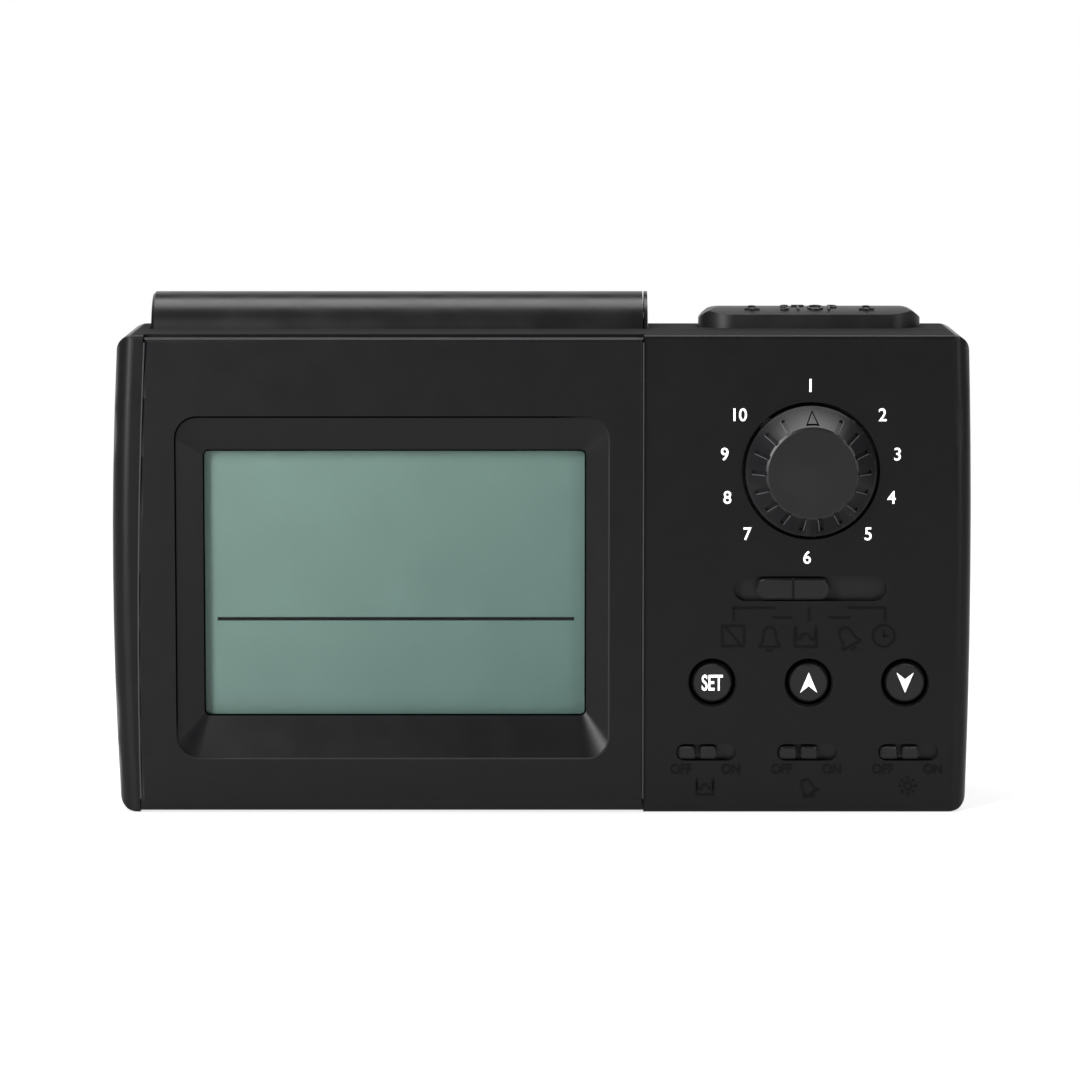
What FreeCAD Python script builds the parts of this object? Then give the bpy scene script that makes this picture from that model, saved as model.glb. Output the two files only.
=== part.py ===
import FreeCAD, Part

import math
import os

import Sketcher

# Table clock with a prayer-time display: a two-part case that stands on its flat base, a display panel
# on the left, a control panel on the right, a fold-out stand hinged on a round barrel along the top.
# Frame: X to the right seen from the front, Y towards the back, Z up. The origin is the middle of the
# base. Lengths are in millimetres.

# ---------------------------------------------------------------------------------------------------
# Driving dimensions: name, value, meaning
# ---------------------------------------------------------------------------------------------------
DIMENSIONS = (
    ("spine_width", 4.8, "case's left side to the display panel"),
    ("panel_width", 89.6, "display panel"),
    ("control_width", 58.4, "display panel to the case's right side"),
    ("frame_margin", 11.85, "case's top and base beyond the display's inner frame"),
    ("front_depth", 14.0, "front housing, face to parting plane"),
    ("left_bow", 1.2, "how far the left side bulges at mid height"),
    ("right_bow", 0.7, "how far the right side bulges at mid height"),
    ("wall", 1.8, "housing wall"),
    ("case_corner", 3.2, "corner radius seen from the front"),
    ("front_edge", 0.7, "radius of the front housing's outer edge"),
    ("side_roll", 3.2, "larger radius of that edge along the left and right sides"),
    ("parting_bevel", 0.2, "bevel of both housings' rims at the parting plane"),
    ("back_edge", 1.5, "radius of the rear housing's outer edge"),
    ("seam", 0.25, "gap round a fixed piece inside the case"),
    ("panel_seam", 0.12, "gap between the panel's sides and the case"),
    ("rest_gap", 0.1, "play of a sprung piece that rests against a wall"),
    ("slide_gap", 0.15, "play of a sliding piece behind the wall"),
    # display panel
    ("panel_bow", 0.75, "bulge of the panel's left edge"),
    ("panel_lean", 1.3, "upper end of that edge further in than its lower end"),
    ("panel_proud", 0.9, "panel face ahead of the control face"),
    ("panel_thick", 3.5, "panel thickness"),
    ("panel_inset", 0.5, "panel ends short of the case's top and base"),
    ("panel_roll", 0.7, "radius of the panel's top and side edges"),
    ("panel_bevel", 1.8, "bevel along the panel's lower edge, height"),
    ("panel_bevel_deep", 1.1, "bevel along the panel's lower edge, depth"),
    ("bezel_width", 77.1, "sloping frame, outside"),
    ("bezel_height", 61.3, "sloping frame, outside"),
    ("bezel_shift", 0.3, "frame's middle right of the panel's middle"),
    ("bezel_drop", 2.3, "frame's middle below the case's mid height"),
    ("bezel_step", 0.3, "upright step at the frame's outer line"),
    ("bezel_corner", 4.0, "frame's corner radius"),
    ("bezel_deep", 2.8, "depth of the frame's inner edge"),
    ("window_width", 68.1, "visible display"),
    ("window_height", 47.7, "visible display"),
    ("window_shift", 0.65, "display's middle right of the panel's middle"),
    ("window_drop", 1.65, "display's middle below the case's mid height"),
    ("window_corner", 1.0, "window's corner radius"),
    ("display_wall", 1.4, "front housing's wall behind the panel"),
    ("lens_thick", 1.0, "clear window"),
    ("lens_margin", 2.0, "clear window beyond the opening, each side"),
    # display stack
    ("glass_thick", 1.1, "each sheet of display glass"),
    ("glass_margin", 2.6, "display glass beyond the opening, each side"),
    ("glass_ledge", 2.6, "rear sheet beyond the front sheet, top and bottom"),
    ("guide_thick", 2.3, "light guide"),
    ("holder_wall", 1.5, "frame round the display stack"),
    ("strip_width", 1.8, "rubber connector strip"),
    # circuit boards
    ("board_setback", 9.0, "boards' front face behind the control face"),
    ("board_thick", 1.6, "circuit board"),
    ("board_low", 3.6, "boards' lower edge above the base"),
    ("board_drop", 5.8, "boards' upper edge below the case's top"),
    ("main_indent", 13.3, "main board's left edge from the case's left side"),
    ("main_gap", 0.4, "main board's right edge short of the display panel's"),
    ("control_gap", 2.7, "control board's left edge beyond the display panel"),
    ("control_indent", 3.9, "control board's right edge from the case's right side"),
    ("board_space", 0.85, "between the main board and the battery tub"),
    ("post_inset", 3.6, "board posts inside the board's edges"),
    ("post_shift", 2.0, "control board's upper right post, further in"),
    ("post_radius", 2.0, "board post"),
    ("board_screw_core", 0.8, "board screw's shank and its pilot hole"),
    ("board_screw_play", 0.3, "gap round a board screw in the board"),
    ("board_screw_bite", 3.0, "board screw's length in its post"),
    ("board_screw_head", 1.8, "board screw's head"),
    ("drop_radius", 7.1, "potted chip"),
    ("drop_height", 1.6, "potted chip"),
    ("crystal_radius", 1.6, "quartz crystal's can"),
    ("crystal_length", 7.1, "quartz crystal's can"),
    ("capacitor_radius", 2.4, "capacitors"),
    ("capacitor_height", 4.8, "capacitors"),
    ("capacitor_pitch", 8.0, "distance between the capacitors"),
    ("ribbon_width", 14.2, "ribbon cable"),
    ("ribbon_thick", 0.4, "ribbon cable"),
    ("ribbon_lap", 3.6, "ribbon cable's ends inside the boards' edges"),
    ("ribbon_rise", 1.6, "ribbon cable behind the boards"),
    ("switch_space", 3.2, "between the switches and the front wall"),
    ("leg_length", 2.5, "leg of a sliding piece, in its switch"),
    ("leg_width", 1.7, "leg of a sliding piece, in its switch"),
    # city dial
    ("dial_shift", 0.5, "dial's middle right of the control panel's"),
    ("dial_drop", 24.1, "dial's middle below the case's top"),
    ("dial_radius", 11.6, "dial's skirt"),
    ("dial_crown", 8.05, "radius of the dial's flat top"),
    ("dial_proud", 5.0, "dial's height above the face"),
    ("dial_gap", 0.65, "gap round the dial"),
    ("dial_sunk", 1.2, "dial's skirt below the face"),
    ("tick_inner", 8.0, "ticks start at this radius"),
    ("tick_outer", 10.5, "ticks end at this radius"),
    ("tick_width", 0.75, "engraved tick"),
    ("tick_deep", 0.5, "engraved tick"),
    ("crown_bevel", 0.25, "bevel round the dial's flat top"),
    ("shaft_radius", 3.0, "dial shaft"),
    ("shaft_flat", 2.2, "shaft's flat from its axis"),
    ("shaft_play", 0.05, "running fit of the shaft in its switch"),
    # mode slider
    ("mode_shift", 0.4, "slot's middle right of the control panel's"),
    ("mode_drop", 2.45, "slot's middle below the case's mid height"),
    ("mode_slot_width", 4.45, "slot width"),
    ("mode_grip", 13.3, "finger piece length"),
    ("mode_grip_width", 3.75, "finger piece width"),
    ("mode_groove", 0.45, "groove across the finger piece"),
    ("mode_end", 0.95, "room at each end of the slot"),
    ("mode_margin", 1.7, "cover strip short of the case's side wall at the end of its travel"),
    # push buttons
    ("button_shift", 0.3, "middle button right of the control panel's middle"),
    ("button_rise", 23.4, "buttons above the base"),
    ("button_pitch", 17.15, "distance between buttons"),
    ("button_radius", 3.35, "button cap"),
    ("button_play", 0.2, "gap between a cap and its hole"),
    ("button_ring", 4.35, "radius of the recess round a cap"),
    ("button_ring_deep", 0.9, "depth of that recess"),
    ("button_proud", 0.4, "cap above the face"),
    ("button_bevel", 0.25, "bevel round a cap"),
    ("button_travel", 0.8, "how far a button goes in"),
    # on-off sliders
    ("slide_shift", 0.1, "middle slider right of the control panel's middle"),
    ("slide_rise", 10.8, "sliders above the base"),
    ("slide_slot_width", 3.0, "slot width"),
    ("slide_grip", 6.9, "finger piece length"),
    ("slide_grip_width", 2.2, "finger piece width"),
    ("slide_groove", 0.6, "gap between the two halves of the finger piece"),
    ("slide_end", 0.4, "room at each end of the slot"),
    ("slide_travel", 3.0, "off to on"),
    ("slide_margin", 0.95, "last cover strip short of the case's side wall"),
    ("grip_proud", 0.7, "finger pieces above the face"),
    ("grip_bevel", 0.3, "bevel round the finger pieces"),
    ("grip_round", 0.7, "corner radius of the small finger pieces"),
    ("strip_cover", 0.1, "cover strip beyond its slot, at the end of its travel"),
    ("strip_thick", 0.9, "cover strips"),
    # stop button
    ("stop_shift", 1.3, "stop button's middle right of the control panel's"),
    ("stop_length", 40.2, "stop button"),
    ("stop_width", 12.6, "stop button, front to back"),
    ("stop_rise", 2.45, "straight side above the case"),
    ("stop_crown", 1.2, "crown above that side"),
    ("stop_roll", 4.3, "length of the rounding at each end"),
    ("stop_roll_drop", 2.1, "how far that rounding comes down"),
    ("stop_flange", 1.2, "flange thickness"),
    ("stop_gap", 0.25, "gap round the stop button"),
    ("stop_travel", 1.4, "how far the stop button goes down"),
    ("stop_lip", 1.2, "flange's reach under the wall at both ends"),
    ("stop_board_drop", 11.7, "stop switch's board below the case's top"),
    # stand
    ("barrel_radius", 8.0, "hinge barrel"),
    ("barrel_drop", 1.7, "barrel's axis below the case's top"),
    ("barrel_indent", 6.0, "barrel's left end from the case's left side"),
    ("barrel_over", 1.1, "barrel's right end beyond the display panel"),
    ("stand_gap", 0.35, "gap between the stand and the rear housing"),
    ("stand_thick", 2.6, "stand plate"),
    ("stand_set", 0.2, "plate's outer face inside the back"),
    ("stand_foot", 1.0, "plate's lower edge above the base"),
    ("thumb_notch", 8.0, "radius of the notch in the plate's lower edge"),
    ("cap_thick", 0.6, "disc that closes the barrel's right end"),
    ("cap_seam", 0.25, "groove between the disc and the barrel"),
    ("cap_spigot", 5.0, "radius of the disc's spigot"),
    ("pin_radius", 0.9, "hinge pins"),
    ("pin_bite", 3.2, "hinge pin's length in the housing"),
    ("pin_reach", 9.0, "hinge pin's length in the barrel"),
    ("pin_play", 0.05, "running fit of a pin in the barrel"),
    # battery bay
    ("cell_radius", 7.1, "battery"),
    ("cell_length", 49.4, "battery without its button"),
    ("cell_tip", 1.0, "battery's button"),
    ("cell_tip_radius", 2.7, "battery's button"),
    ("cell_gap", 0.4, "between the two batteries and round them"),
    ("bay_shift", 2.0, "bay's middle left of the display panel's"),
    ("bay_length", 57.0, "bay, end wall to end wall"),
    ("bay_low", 3.8, "bay's lower wall above the base"),
    ("door_thick", 1.7, "battery door"),
    ("door_lap", 1.5, "battery door beyond the bay"),
    ("door_play", 0.2, "gap round the battery door"),
    ("door_tongue", 1.0, "tongue on each side of the door"),
    ("contact_thick", 0.4, "spring contacts"),
    ("contact_width", 12.0, "spring contacts, up and down"),
    ("contact_height", 11.4, "spring contacts, front to back"),
    # loudspeaker
    ("speaker_shift", 1.1, "loudspeaker's middle left of the control panel's"),
    ("speaker_drop", 1.65, "loudspeaker's middle below the case's mid height"),
    ("speaker_radius", 20.0, "loudspeaker's rim"),
    ("speaker_deep", 13.0, "rim to magnet"),
    ("magnet_radius", 9.5, "magnet"),
    ("grille_slot", 1.6, "width of a sound slot"),
    ("grille_pitch", 3.6, "distance between sound slots"),
    ("grille_radius", 16.0, "sound slots end on this circle"),
    # case screws
    ("boss_space", 1.35, "between the left screw bosses and the display's frame"),
    ("screw_right", 5.7, "right screws from the case's right side"),
    ("screw_low", 17.5, "lower screws above the base"),
    ("screw_high", 17.3, "upper screws below the case's top"),
    ("boss_radius", 2.7, "screw boss"),
    ("screw_radius", 1.1, "screw's hole in the rear housing, without its play"),
    ("screw_core", 0.88, "screw's shank and its pilot hole"),
    ("head_radius", 2.1, "screw head"),
    ("head_thick", 1.4, "screw head"),
    ("sink_deep", 9.0, "depth of a screw's well in the back"),
    ("screw_bite", 7.0, "screw's length in the front housing"),
)

GRILLE_SLOTS = 9
DOOR_RIBS = 5
DROP_SHOULDER = 0.85
DROP_TOP = 0.4
LEDGE_PLACE = 0.9
TICKS = 16
TICK_START = 30.0
TICK_SPAN = 300.0
BUTTONS = (("set_button", -1), ("up_button", 0), ("down_button", 1))
SLIDERS = (("call_switch_knob", -1), ("snooze_switch_knob", 0), ("season_switch_knob", 1))

doc = FreeCAD.newDocument("PrayerClock")
sheet = doc.addObject("Spreadsheet::Sheet", "Dims")
sheet.Label = "Dims"


class Size:
    """A length: its number, and the spreadsheet formula that gives it."""

    def __init__(self, value, formula):
        self.value = float(value)
        self.formula = formula

    def __add__(self, other):
        other = as_size(other)
        return Size(self.value + other.value, f"({self.formula} + {other.formula})")

    def __sub__(self, other):
        other = as_size(other)
        return Size(self.value - other.value, f"({self.formula} - {other.formula})")

    def __mul__(self, factor):
        factor = as_size(factor)
        return Size(self.value * factor.value, f"({self.formula} * {factor.formula})")

    def __truediv__(self, factor):
        factor = as_size(factor)
        return Size(self.value / factor.value, f"({self.formula} / {factor.formula})")

    def __neg__(self):
        return Size(-self.value, f"(-{self.formula})")


def as_size(value):
    """A plain number becomes a Size, and a Size stays as it is."""
    if isinstance(value, Size):
        return value
    return Size(value, f"({value:g})")


def root(size):
    """The square root of a Size."""
    return Size(math.sqrt(size.value), f"sqrt({size.formula})")


class Dims:
    """The driving dimensions by name."""


for row, (name, value, meaning) in enumerate(DIMENSIONS, start=1):
    sheet.set(f"A{row}", name)
    sheet.set(f"B{row}", str(value))
    sheet.set(f"C{row}", meaning)
    sheet.setAlias(f"B{row}", name)
    setattr(Dims, name, Size(value, f"Dims.{name}"))
doc.recompute()

# ---------------------------------------------------------------------------------------------------
# Planes that several pieces share
# ---------------------------------------------------------------------------------------------------
case_width = Dims.spine_width + Dims.panel_width + Dims.control_width
half_width = case_width / 2
glass_width = Dims.window_width + Dims.glass_margin * 2
glass_height = Dims.window_height + Dims.glass_margin * 2
rear_glass_height = glass_height + Dims.glass_ledge * 2
frame_width = glass_width + (Dims.seam + Dims.holder_wall) * 2
frame_height = rear_glass_height + (Dims.seam + Dims.holder_wall) * 2
case_top = frame_height + Dims.frame_margin * 2
mid_height = case_top / 2
bay_deep = Dims.cell_radius * 2 + Dims.rest_gap + Dims.cell_gap
stand_room = Dims.stand_set + Dims.stand_thick + Dims.stand_gap
behind_boards = Dims.board_space + Dims.wall + bay_deep + Dims.door_thick + Dims.door_play + stand_room
case_depth = Dims.board_setback + Dims.board_thick + behind_boards
rear_depth = case_depth - Dims.front_depth
face_y = -(case_depth / 2)
parting_y = face_y + Dims.front_depth
back_y = parting_y + rear_depth
inner_face_y = face_y + Dims.wall

inner_left = Dims.left_bow + Dims.wall - half_width
inner_right = half_width - Dims.right_bow - Dims.wall

panel_left = -half_width + Dims.spine_width
panel_right = panel_left + Dims.panel_width
panel_foot_left = panel_left + Dims.panel_bow - Dims.panel_lean / 2
panel_middle = panel_left + Dims.panel_width / 2
control_middle = panel_right + Dims.control_width / 2
panel_back_y = face_y + Dims.panel_thick - Dims.panel_proud
panel_face_y = panel_back_y - Dims.panel_thick
display_inner_y = panel_back_y + Dims.display_wall
channel_right = panel_right + Dims.panel_seam
display_end = channel_right + Dims.wall
bezel_x = panel_middle + Dims.bezel_shift
bezel_z = mid_height - Dims.bezel_drop
window_x = panel_middle + Dims.window_shift
window_z = mid_height - Dims.window_drop

rear_glass_y = display_inner_y + Dims.glass_thick
guide_y = rear_glass_y + Dims.glass_thick
board_front_y = face_y + Dims.board_setback
board_back_y = board_front_y + Dims.board_thick

main_left = Dims.main_indent - half_width
main_right = panel_right - Dims.main_gap
control_left = panel_right + Dims.control_gap
control_right = half_width - Dims.control_indent
board_high = case_top - Dims.board_drop

barrel_y = back_y - Dims.stand_set - Dims.barrel_radius
barrel_z = case_top - Dims.barrel_drop
barrel_left = Dims.barrel_indent - half_width
barrel_right = panel_right + Dims.barrel_over
stand_inner_y = back_y - Dims.stand_set - Dims.stand_thick
recess_y = stand_inner_y - Dims.stand_gap
trough_radius = Dims.barrel_radius + Dims.stand_gap
stand_middle = (barrel_right + barrel_left) / 2
stand_length = barrel_right - barrel_left
recess_left = barrel_left - Dims.stand_gap
recess_right = barrel_right + Dims.stand_gap
bearing_right = recess_right + Dims.pin_bite

door_inner_y = recess_y - Dims.door_play - Dims.door_thick
cell_y = door_inner_y - Dims.rest_gap - Dims.cell_radius
bay_bottom_y = door_inner_y - bay_deep
bay_middle = panel_middle - Dims.bay_shift
bay_height = Dims.cell_radius * 4 + Dims.cell_gap * 3
bay_high = Dims.bay_low + bay_height
lower_cell_z = Dims.bay_low + Dims.cell_gap + Dims.cell_radius
upper_cell_z = lower_cell_z + Dims.cell_radius * 2 + Dims.cell_gap
door_width = Dims.bay_length + Dims.door_lap * 2
door_low = Dims.panel_inset
door_high = bay_high + Dims.door_lap
tub_width = door_width + (Dims.door_play + Dims.door_tongue + Dims.door_play + Dims.wall) * 2

strip_front_y = inner_face_y + Dims.slide_gap
strip_back_y = strip_front_y + Dims.strip_thick
dial_x = control_middle + Dims.dial_shift
dial_z = case_top - Dims.dial_drop
mode_x = control_middle + Dims.mode_shift
mode_z = mid_height - Dims.mode_drop
half_control = Dims.control_width / 2 - Dims.wall
mode_step = (half_control - Dims.mode_margin - Dims.mode_grip / 2 - Dims.mode_end - Dims.strip_cover) / 6
mode_travel = mode_step * 4
mode_slot = Dims.mode_grip + mode_travel + Dims.mode_end * 2
mode_strip = mode_slot + mode_travel + Dims.strip_cover * 2
mode_rest = mode_x - mode_step
button_x = control_middle + Dims.button_shift
slide_x = control_middle + Dims.slide_shift
slide_slot = Dims.slide_grip + Dims.slide_travel + Dims.slide_end * 2
slide_strip = slide_slot + Dims.slide_travel + Dims.strip_cover * 2
slide_pitch = half_control - Dims.slide_margin - slide_strip / 2 - Dims.slide_travel / 2
slide_rest_shift = Dims.slide_travel / 2
switch_height = Dims.board_setback - Dims.wall - Dims.switch_space
switch_front_y = board_front_y - switch_height
leg_tip_y = board_front_y - switch_height / 2
socket_play = Dims.slide_gap * 2

speaker_front_y = back_y - Dims.wall
speaker_x = control_middle - Dims.speaker_shift
speaker_z = mid_height - Dims.speaker_drop
stop_x = control_middle + Dims.stop_shift
stop_board_z = case_top - Dims.stop_board_drop
stop_y = speaker_front_y - Dims.stop_gap * 2 - Dims.stop_width / 2
stop_under_z = case_top - Dims.wall - Dims.rest_gap
stop_board_top = stop_board_z + Dims.board_thick

screw_left = window_x - frame_width / 2 - Dims.boss_space - Dims.boss_radius
screw_right = half_width - Dims.screw_right
screw_high = case_top - Dims.screw_high
case_screws = (
    (screw_left, Dims.screw_low),
    (screw_left, screw_high),
    (screw_right, Dims.screw_low),
    (screw_right, screw_high),
)
main_posts = (
    (main_left + Dims.post_inset, Dims.board_low + Dims.post_inset),
    (main_left + Dims.post_inset, board_high - Dims.post_inset),
    (main_right - Dims.post_inset, Dims.board_low + Dims.post_inset),
    (main_right - Dims.post_inset, board_high - Dims.post_inset),
)
between_rows = (Dims.button_rise - Dims.button_ring + Dims.slide_rise + Dims.slide_slot_width) / 2
control_posts = (
    (control_left + Dims.post_inset, board_high - Dims.post_inset),
    (control_right - Dims.post_inset - Dims.post_shift, board_high - Dims.post_inset),
    (button_x - Dims.button_pitch / 2, between_rows),
    (button_x + Dims.button_pitch / 2, between_rows),
)


# ---------------------------------------------------------------------------------------------------
# Sketches on a body's own origin planes, placed by a point in the part's frame
# ---------------------------------------------------------------------------------------------------
def new_body(name):
    body = doc.addObject("PartDesign::Body", name)
    body.Label = name
    return body


def new_sketch(body, name, plane, x, y, z):
    """Plane "front" looks along +Y, "top" looks down, "side" looks along -X."""
    local = {"front": (x, z, -as_size(y)), "top": (x, y, z), "side": (y, z, x)}[plane]
    role = {"front": "XZ_Plane", "top": "XY_Plane", "side": "YZ_Plane"}[plane]
    origin_plane = [item for item in body.Origin.OriginFeatures if item.Role == role][0]
    sketch = body.newObject("Sketcher::SketchObject", f"{body.Name}_{name}")
    sketch.AttachmentSupport = [(origin_plane, "")]
    sketch.MapMode = "FlatFace"
    for axis, size in zip("xyz", local):
        sketch.setExpression(f"AttachmentOffset.Base.{axis}", as_size(size).formula)
    return sketch


def bind_constraint(sketch, constraint, size):
    number = sketch.addConstraint(constraint)
    sketch.setExpression(f"Constraints[{number}]", size.formula)


def fix_point(sketch, geometry, point, x, y):
    """Ties a point of the sketch to its place from the sketch's origin."""
    bind_constraint(sketch, Sketcher.Constraint("DistanceX", -1, 1, geometry, point, x.value), x)
    bind_constraint(sketch, Sketcher.Constraint("DistanceY", -1, 1, geometry, point, y.value), y)


def add_outline(sketch, points):
    """A closed outline of straight edges through the points."""
    corners = [(as_size(x), as_size(y)) for x, y in points]
    vectors = [FreeCAD.Vector(x.value, y.value, 0) for x, y in corners]
    first = sketch.GeometryCount
    count = len(corners)
    for index in range(count):
        sketch.addGeometry(Part.LineSegment(vectors[index], vectors[(index + 1) % count]))
    for index in range(count):
        following = first + (index + 1) % count
        sketch.addConstraint(Sketcher.Constraint("Coincident", first + index, 2, following, 1))
    for index, (x, y) in enumerate(corners):
        fix_point(sketch, first + index, 1, x, y)


def add_box(sketch, left, right, low, high):
    add_outline(sketch, ((left, low), (right, low), (right, high), (left, high)))


def add_rectangle(sketch, width, height, x=0, y=0):
    x = as_size(x)
    y = as_size(y)
    across = as_size(width) / 2
    up = as_size(height) / 2
    add_box(sketch, x - across, x + across, y - up, y + up)


def add_circle(sketch, radius, x=0, y=0):
    x = as_size(x)
    y = as_size(y)
    radius = as_size(radius)
    centre = FreeCAD.Vector(x.value, y.value, 0)
    index = sketch.addGeometry(Part.Circle(centre, FreeCAD.Vector(0, 0, 1), radius.value))
    fix_point(sketch, index, 3, x, y)
    bind_constraint(sketch, Sketcher.Constraint("Radius", index, radius.value), radius)


def add_arc(sketch, before, after, start, crest, end):
    """An arc through crest, from one edge's end to the next edge's start; it is drawn turning left."""
    turns_left = (crest - start).cross(end - crest).z > 0
    if turns_left:
        index = sketch.addGeometry(Part.Arc(start, crest, end))
        near, far = (1, 2)
    else:
        index = sketch.addGeometry(Part.Arc(end, crest, start))
        near, far = (2, 1)
    sketch.addConstraint(Sketcher.Constraint("Coincident", before, 2, index, near))
    sketch.addConstraint(Sketcher.Constraint("Coincident", index, far, after, 1))
    return index


def add_arc_edge(sketch, before, after, start, end, radius, bulge):
    """An arc of the given radius between two edges; bulge is the unit direction of its crest."""
    half_chord = (end - start).Length / 2
    drop = math.sqrt(max(radius.value**2 - half_chord**2, 0.0))
    crest = (start + end) * 0.5 + bulge * (radius.value - drop)
    index = add_arc(sketch, before, after, start, crest, end)
    bind_constraint(sketch, Sketcher.Constraint("Radius", index, radius.value), radius)


def add_centred_arc(sketch, before, after, start, crest, end, centre_x):
    """An arc between two edges with its centre at centre_x along the first axis."""
    index = add_arc(sketch, before, after, start, crest, end)
    bind_constraint(sketch, Sketcher.Constraint("DistanceX", -1, 1, index, 3, centre_x.value), centre_x)


def add_rounded(sketch, width, height, radius, x=0, y=0):
    """A rectangle with round corners, centred on x, y."""
    x = as_size(x)
    y = as_size(y)
    radius = as_size(radius)
    across = as_size(width) / 2
    up = as_size(height) / 2
    edges = (
        ((x - across + radius, y - up), (x + across - radius, y - up), (1, -1)),
        ((x + across, y - up + radius), (x + across, y + up - radius), (1, 1)),
        ((x + across - radius, y + up), (x - across + radius, y + up), (-1, 1)),
        ((x - across, y + up - radius), (x - across, y - up + radius), (-1, -1)),
    )
    first = sketch.GeometryCount
    ends = []
    for start, end, turn in edges:
        start_at = FreeCAD.Vector(start[0].value, start[1].value, 0)
        end_at = FreeCAD.Vector(end[0].value, end[1].value, 0)
        index = sketch.addGeometry(Part.LineSegment(start_at, end_at))
        fix_point(sketch, index, 1, *start)
        fix_point(sketch, index, 2, *end)
        ends.append((start_at, end_at, FreeCAD.Vector(*turn, 0).normalize()))
    for index in range(4):
        following = (index + 1) % 4
        start_at = ends[index][1]
        end_at = ends[following][0]
        add_arc_edge(sketch, first + index, first + following, start_at, end_at, radius, ends[index][2])


def add_slot(sketch, length, width, x=0, y=0):
    """A slot with half-round ends, long way across, centred on x, y."""
    x = as_size(x)
    y = as_size(y)
    radius = as_size(width) / 2
    reach = as_size(length) / 2 - radius
    lower_start = FreeCAD.Vector((x - reach).value, (y - radius).value, 0)
    lower_end = FreeCAD.Vector((x + reach).value, (y - radius).value, 0)
    upper_start = FreeCAD.Vector((x + reach).value, (y + radius).value, 0)
    upper_end = FreeCAD.Vector((x - reach).value, (y + radius).value, 0)
    lower = sketch.addGeometry(Part.LineSegment(lower_start, lower_end))
    upper = sketch.addGeometry(Part.LineSegment(upper_start, upper_end))
    fix_point(sketch, lower, 1, x - reach, y - radius)
    fix_point(sketch, lower, 2, x + reach, y - radius)
    fix_point(sketch, upper, 1, x + reach, y + radius)
    fix_point(sketch, upper, 2, x - reach, y + radius)
    for before, after, start, end, side in (
        (lower, upper, lower_end, upper_start, 1),
        (upper, lower, upper_end, lower_start, -1),
    ):
        crest = (start + end) * 0.5 + FreeCAD.Vector(side * radius.value, 0, 0)
        add_centred_arc(sketch, before, after, start, crest, end, x + reach * side)


def bow_radius(chord, bow):
    """Radius of the arc over a chord, given how far its middle lies from the chord."""
    return (chord * chord / 4 + bow * bow) / (bow * 2)


def add_bowed(sketch, left, right, low, high, bow_left, bow_right, lean=0):
    """A box whose left and right sides bulge outwards by the bows; a side with bow 0 is straight.

    The lean brings the upper end of the left side further in.
    """
    left = as_size(left)
    right = as_size(right)
    low = as_size(low)
    high = as_size(high)
    lean = as_size(lean)
    upper_left = left + lean
    low_left = FreeCAD.Vector(left.value, low.value, 0)
    low_right = FreeCAD.Vector(right.value, low.value, 0)
    high_right = FreeCAD.Vector(right.value, high.value, 0)
    high_left = FreeCAD.Vector(upper_left.value, high.value, 0)
    bottom = sketch.addGeometry(Part.LineSegment(low_left, low_right))
    top = sketch.addGeometry(Part.LineSegment(high_right, high_left))
    fix_point(sketch, bottom, 1, left, low)
    fix_point(sketch, bottom, 2, right, low)
    fix_point(sketch, top, 1, right, high)
    fix_point(sketch, top, 2, upper_left, high)
    rise = high - low
    left_chord = root(rise * rise + lean * lean)
    left_out = FreeCAD.Vector(-rise.value, lean.value, 0).normalize()
    sides = (
        (bottom, top, low_right, high_right, bow_right, rise, FreeCAD.Vector(1, 0, 0)),
        (top, bottom, high_left, low_left, bow_left, left_chord, left_out),
    )
    for before, after, start, end, bow, chord, outwards in sides:
        if isinstance(bow, Size):
            add_arc_edge(sketch, before, after, start, end, bow_radius(chord, bow), outwards)
        else:
            index = sketch.addGeometry(Part.LineSegment(start, end))
            sketch.addConstraint(Sketcher.Constraint("Coincident", before, 2, index, 1))
            sketch.addConstraint(Sketcher.Constraint("Coincident", index, 2, after, 1))


def add_d_shape(sketch, radius, flat):
    """A circle cut by a straight line at the height flat."""
    reach = root(radius * radius - flat * flat)
    left_end = FreeCAD.Vector(-reach.value, flat.value, 0)
    right_end = FreeCAD.Vector(reach.value, flat.value, 0)
    line = sketch.addGeometry(Part.LineSegment(right_end, left_end))
    arc = sketch.addGeometry(Part.Arc(left_end, FreeCAD.Vector(0, -radius.value, 0), right_end))
    fix_point(sketch, line, 1, reach, flat)
    fix_point(sketch, line, 2, -reach, flat)
    sketch.addConstraint(Sketcher.Constraint("Coincident", line, 2, arc, 1))
    sketch.addConstraint(Sketcher.Constraint("Coincident", arc, 2, line, 1))
    bind_constraint(sketch, Sketcher.Constraint("Radius", arc, radius.value), radius)


# ---------------------------------------------------------------------------------------------------
# Features
# ---------------------------------------------------------------------------------------------------
def extrude(body, kind, name, sketch, length, reverse=False, both_ways=False):
    feature = body.newObject(f"PartDesign::{kind}", f"{body.Name}_{name}")
    feature.Profile = sketch
    feature.setExpression("Length", as_size(length).formula)
    feature.Reversed = reverse
    if both_ways:
        feature.SideType = "Symmetric"
    sketch.Visibility = False
    return feature


def pad_forward(body, name, sketch, length):
    """Front sketches: material from the sketch towards the viewer."""
    return extrude(body, "Pad", name, sketch, length)


def pad_back(body, name, sketch, length):
    """Front sketches: material from the sketch towards the back."""
    return extrude(body, "Pad", name, sketch, length, reverse=True)


def cut_back(body, name, sketch, length):
    """Front sketches: a cut from the sketch towards the back."""
    return extrude(body, "Pocket", name, sketch, length)


def cut_forward(body, name, sketch, length):
    """Front sketches: a cut from the sketch towards the viewer."""
    return extrude(body, "Pocket", name, sketch, length, reverse=True)


def pad_across(body, name, sketch, length):
    """Side sketches: material on both sides of the sketch."""
    return extrude(body, "Pad", name, sketch, length, both_ways=True)


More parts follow.
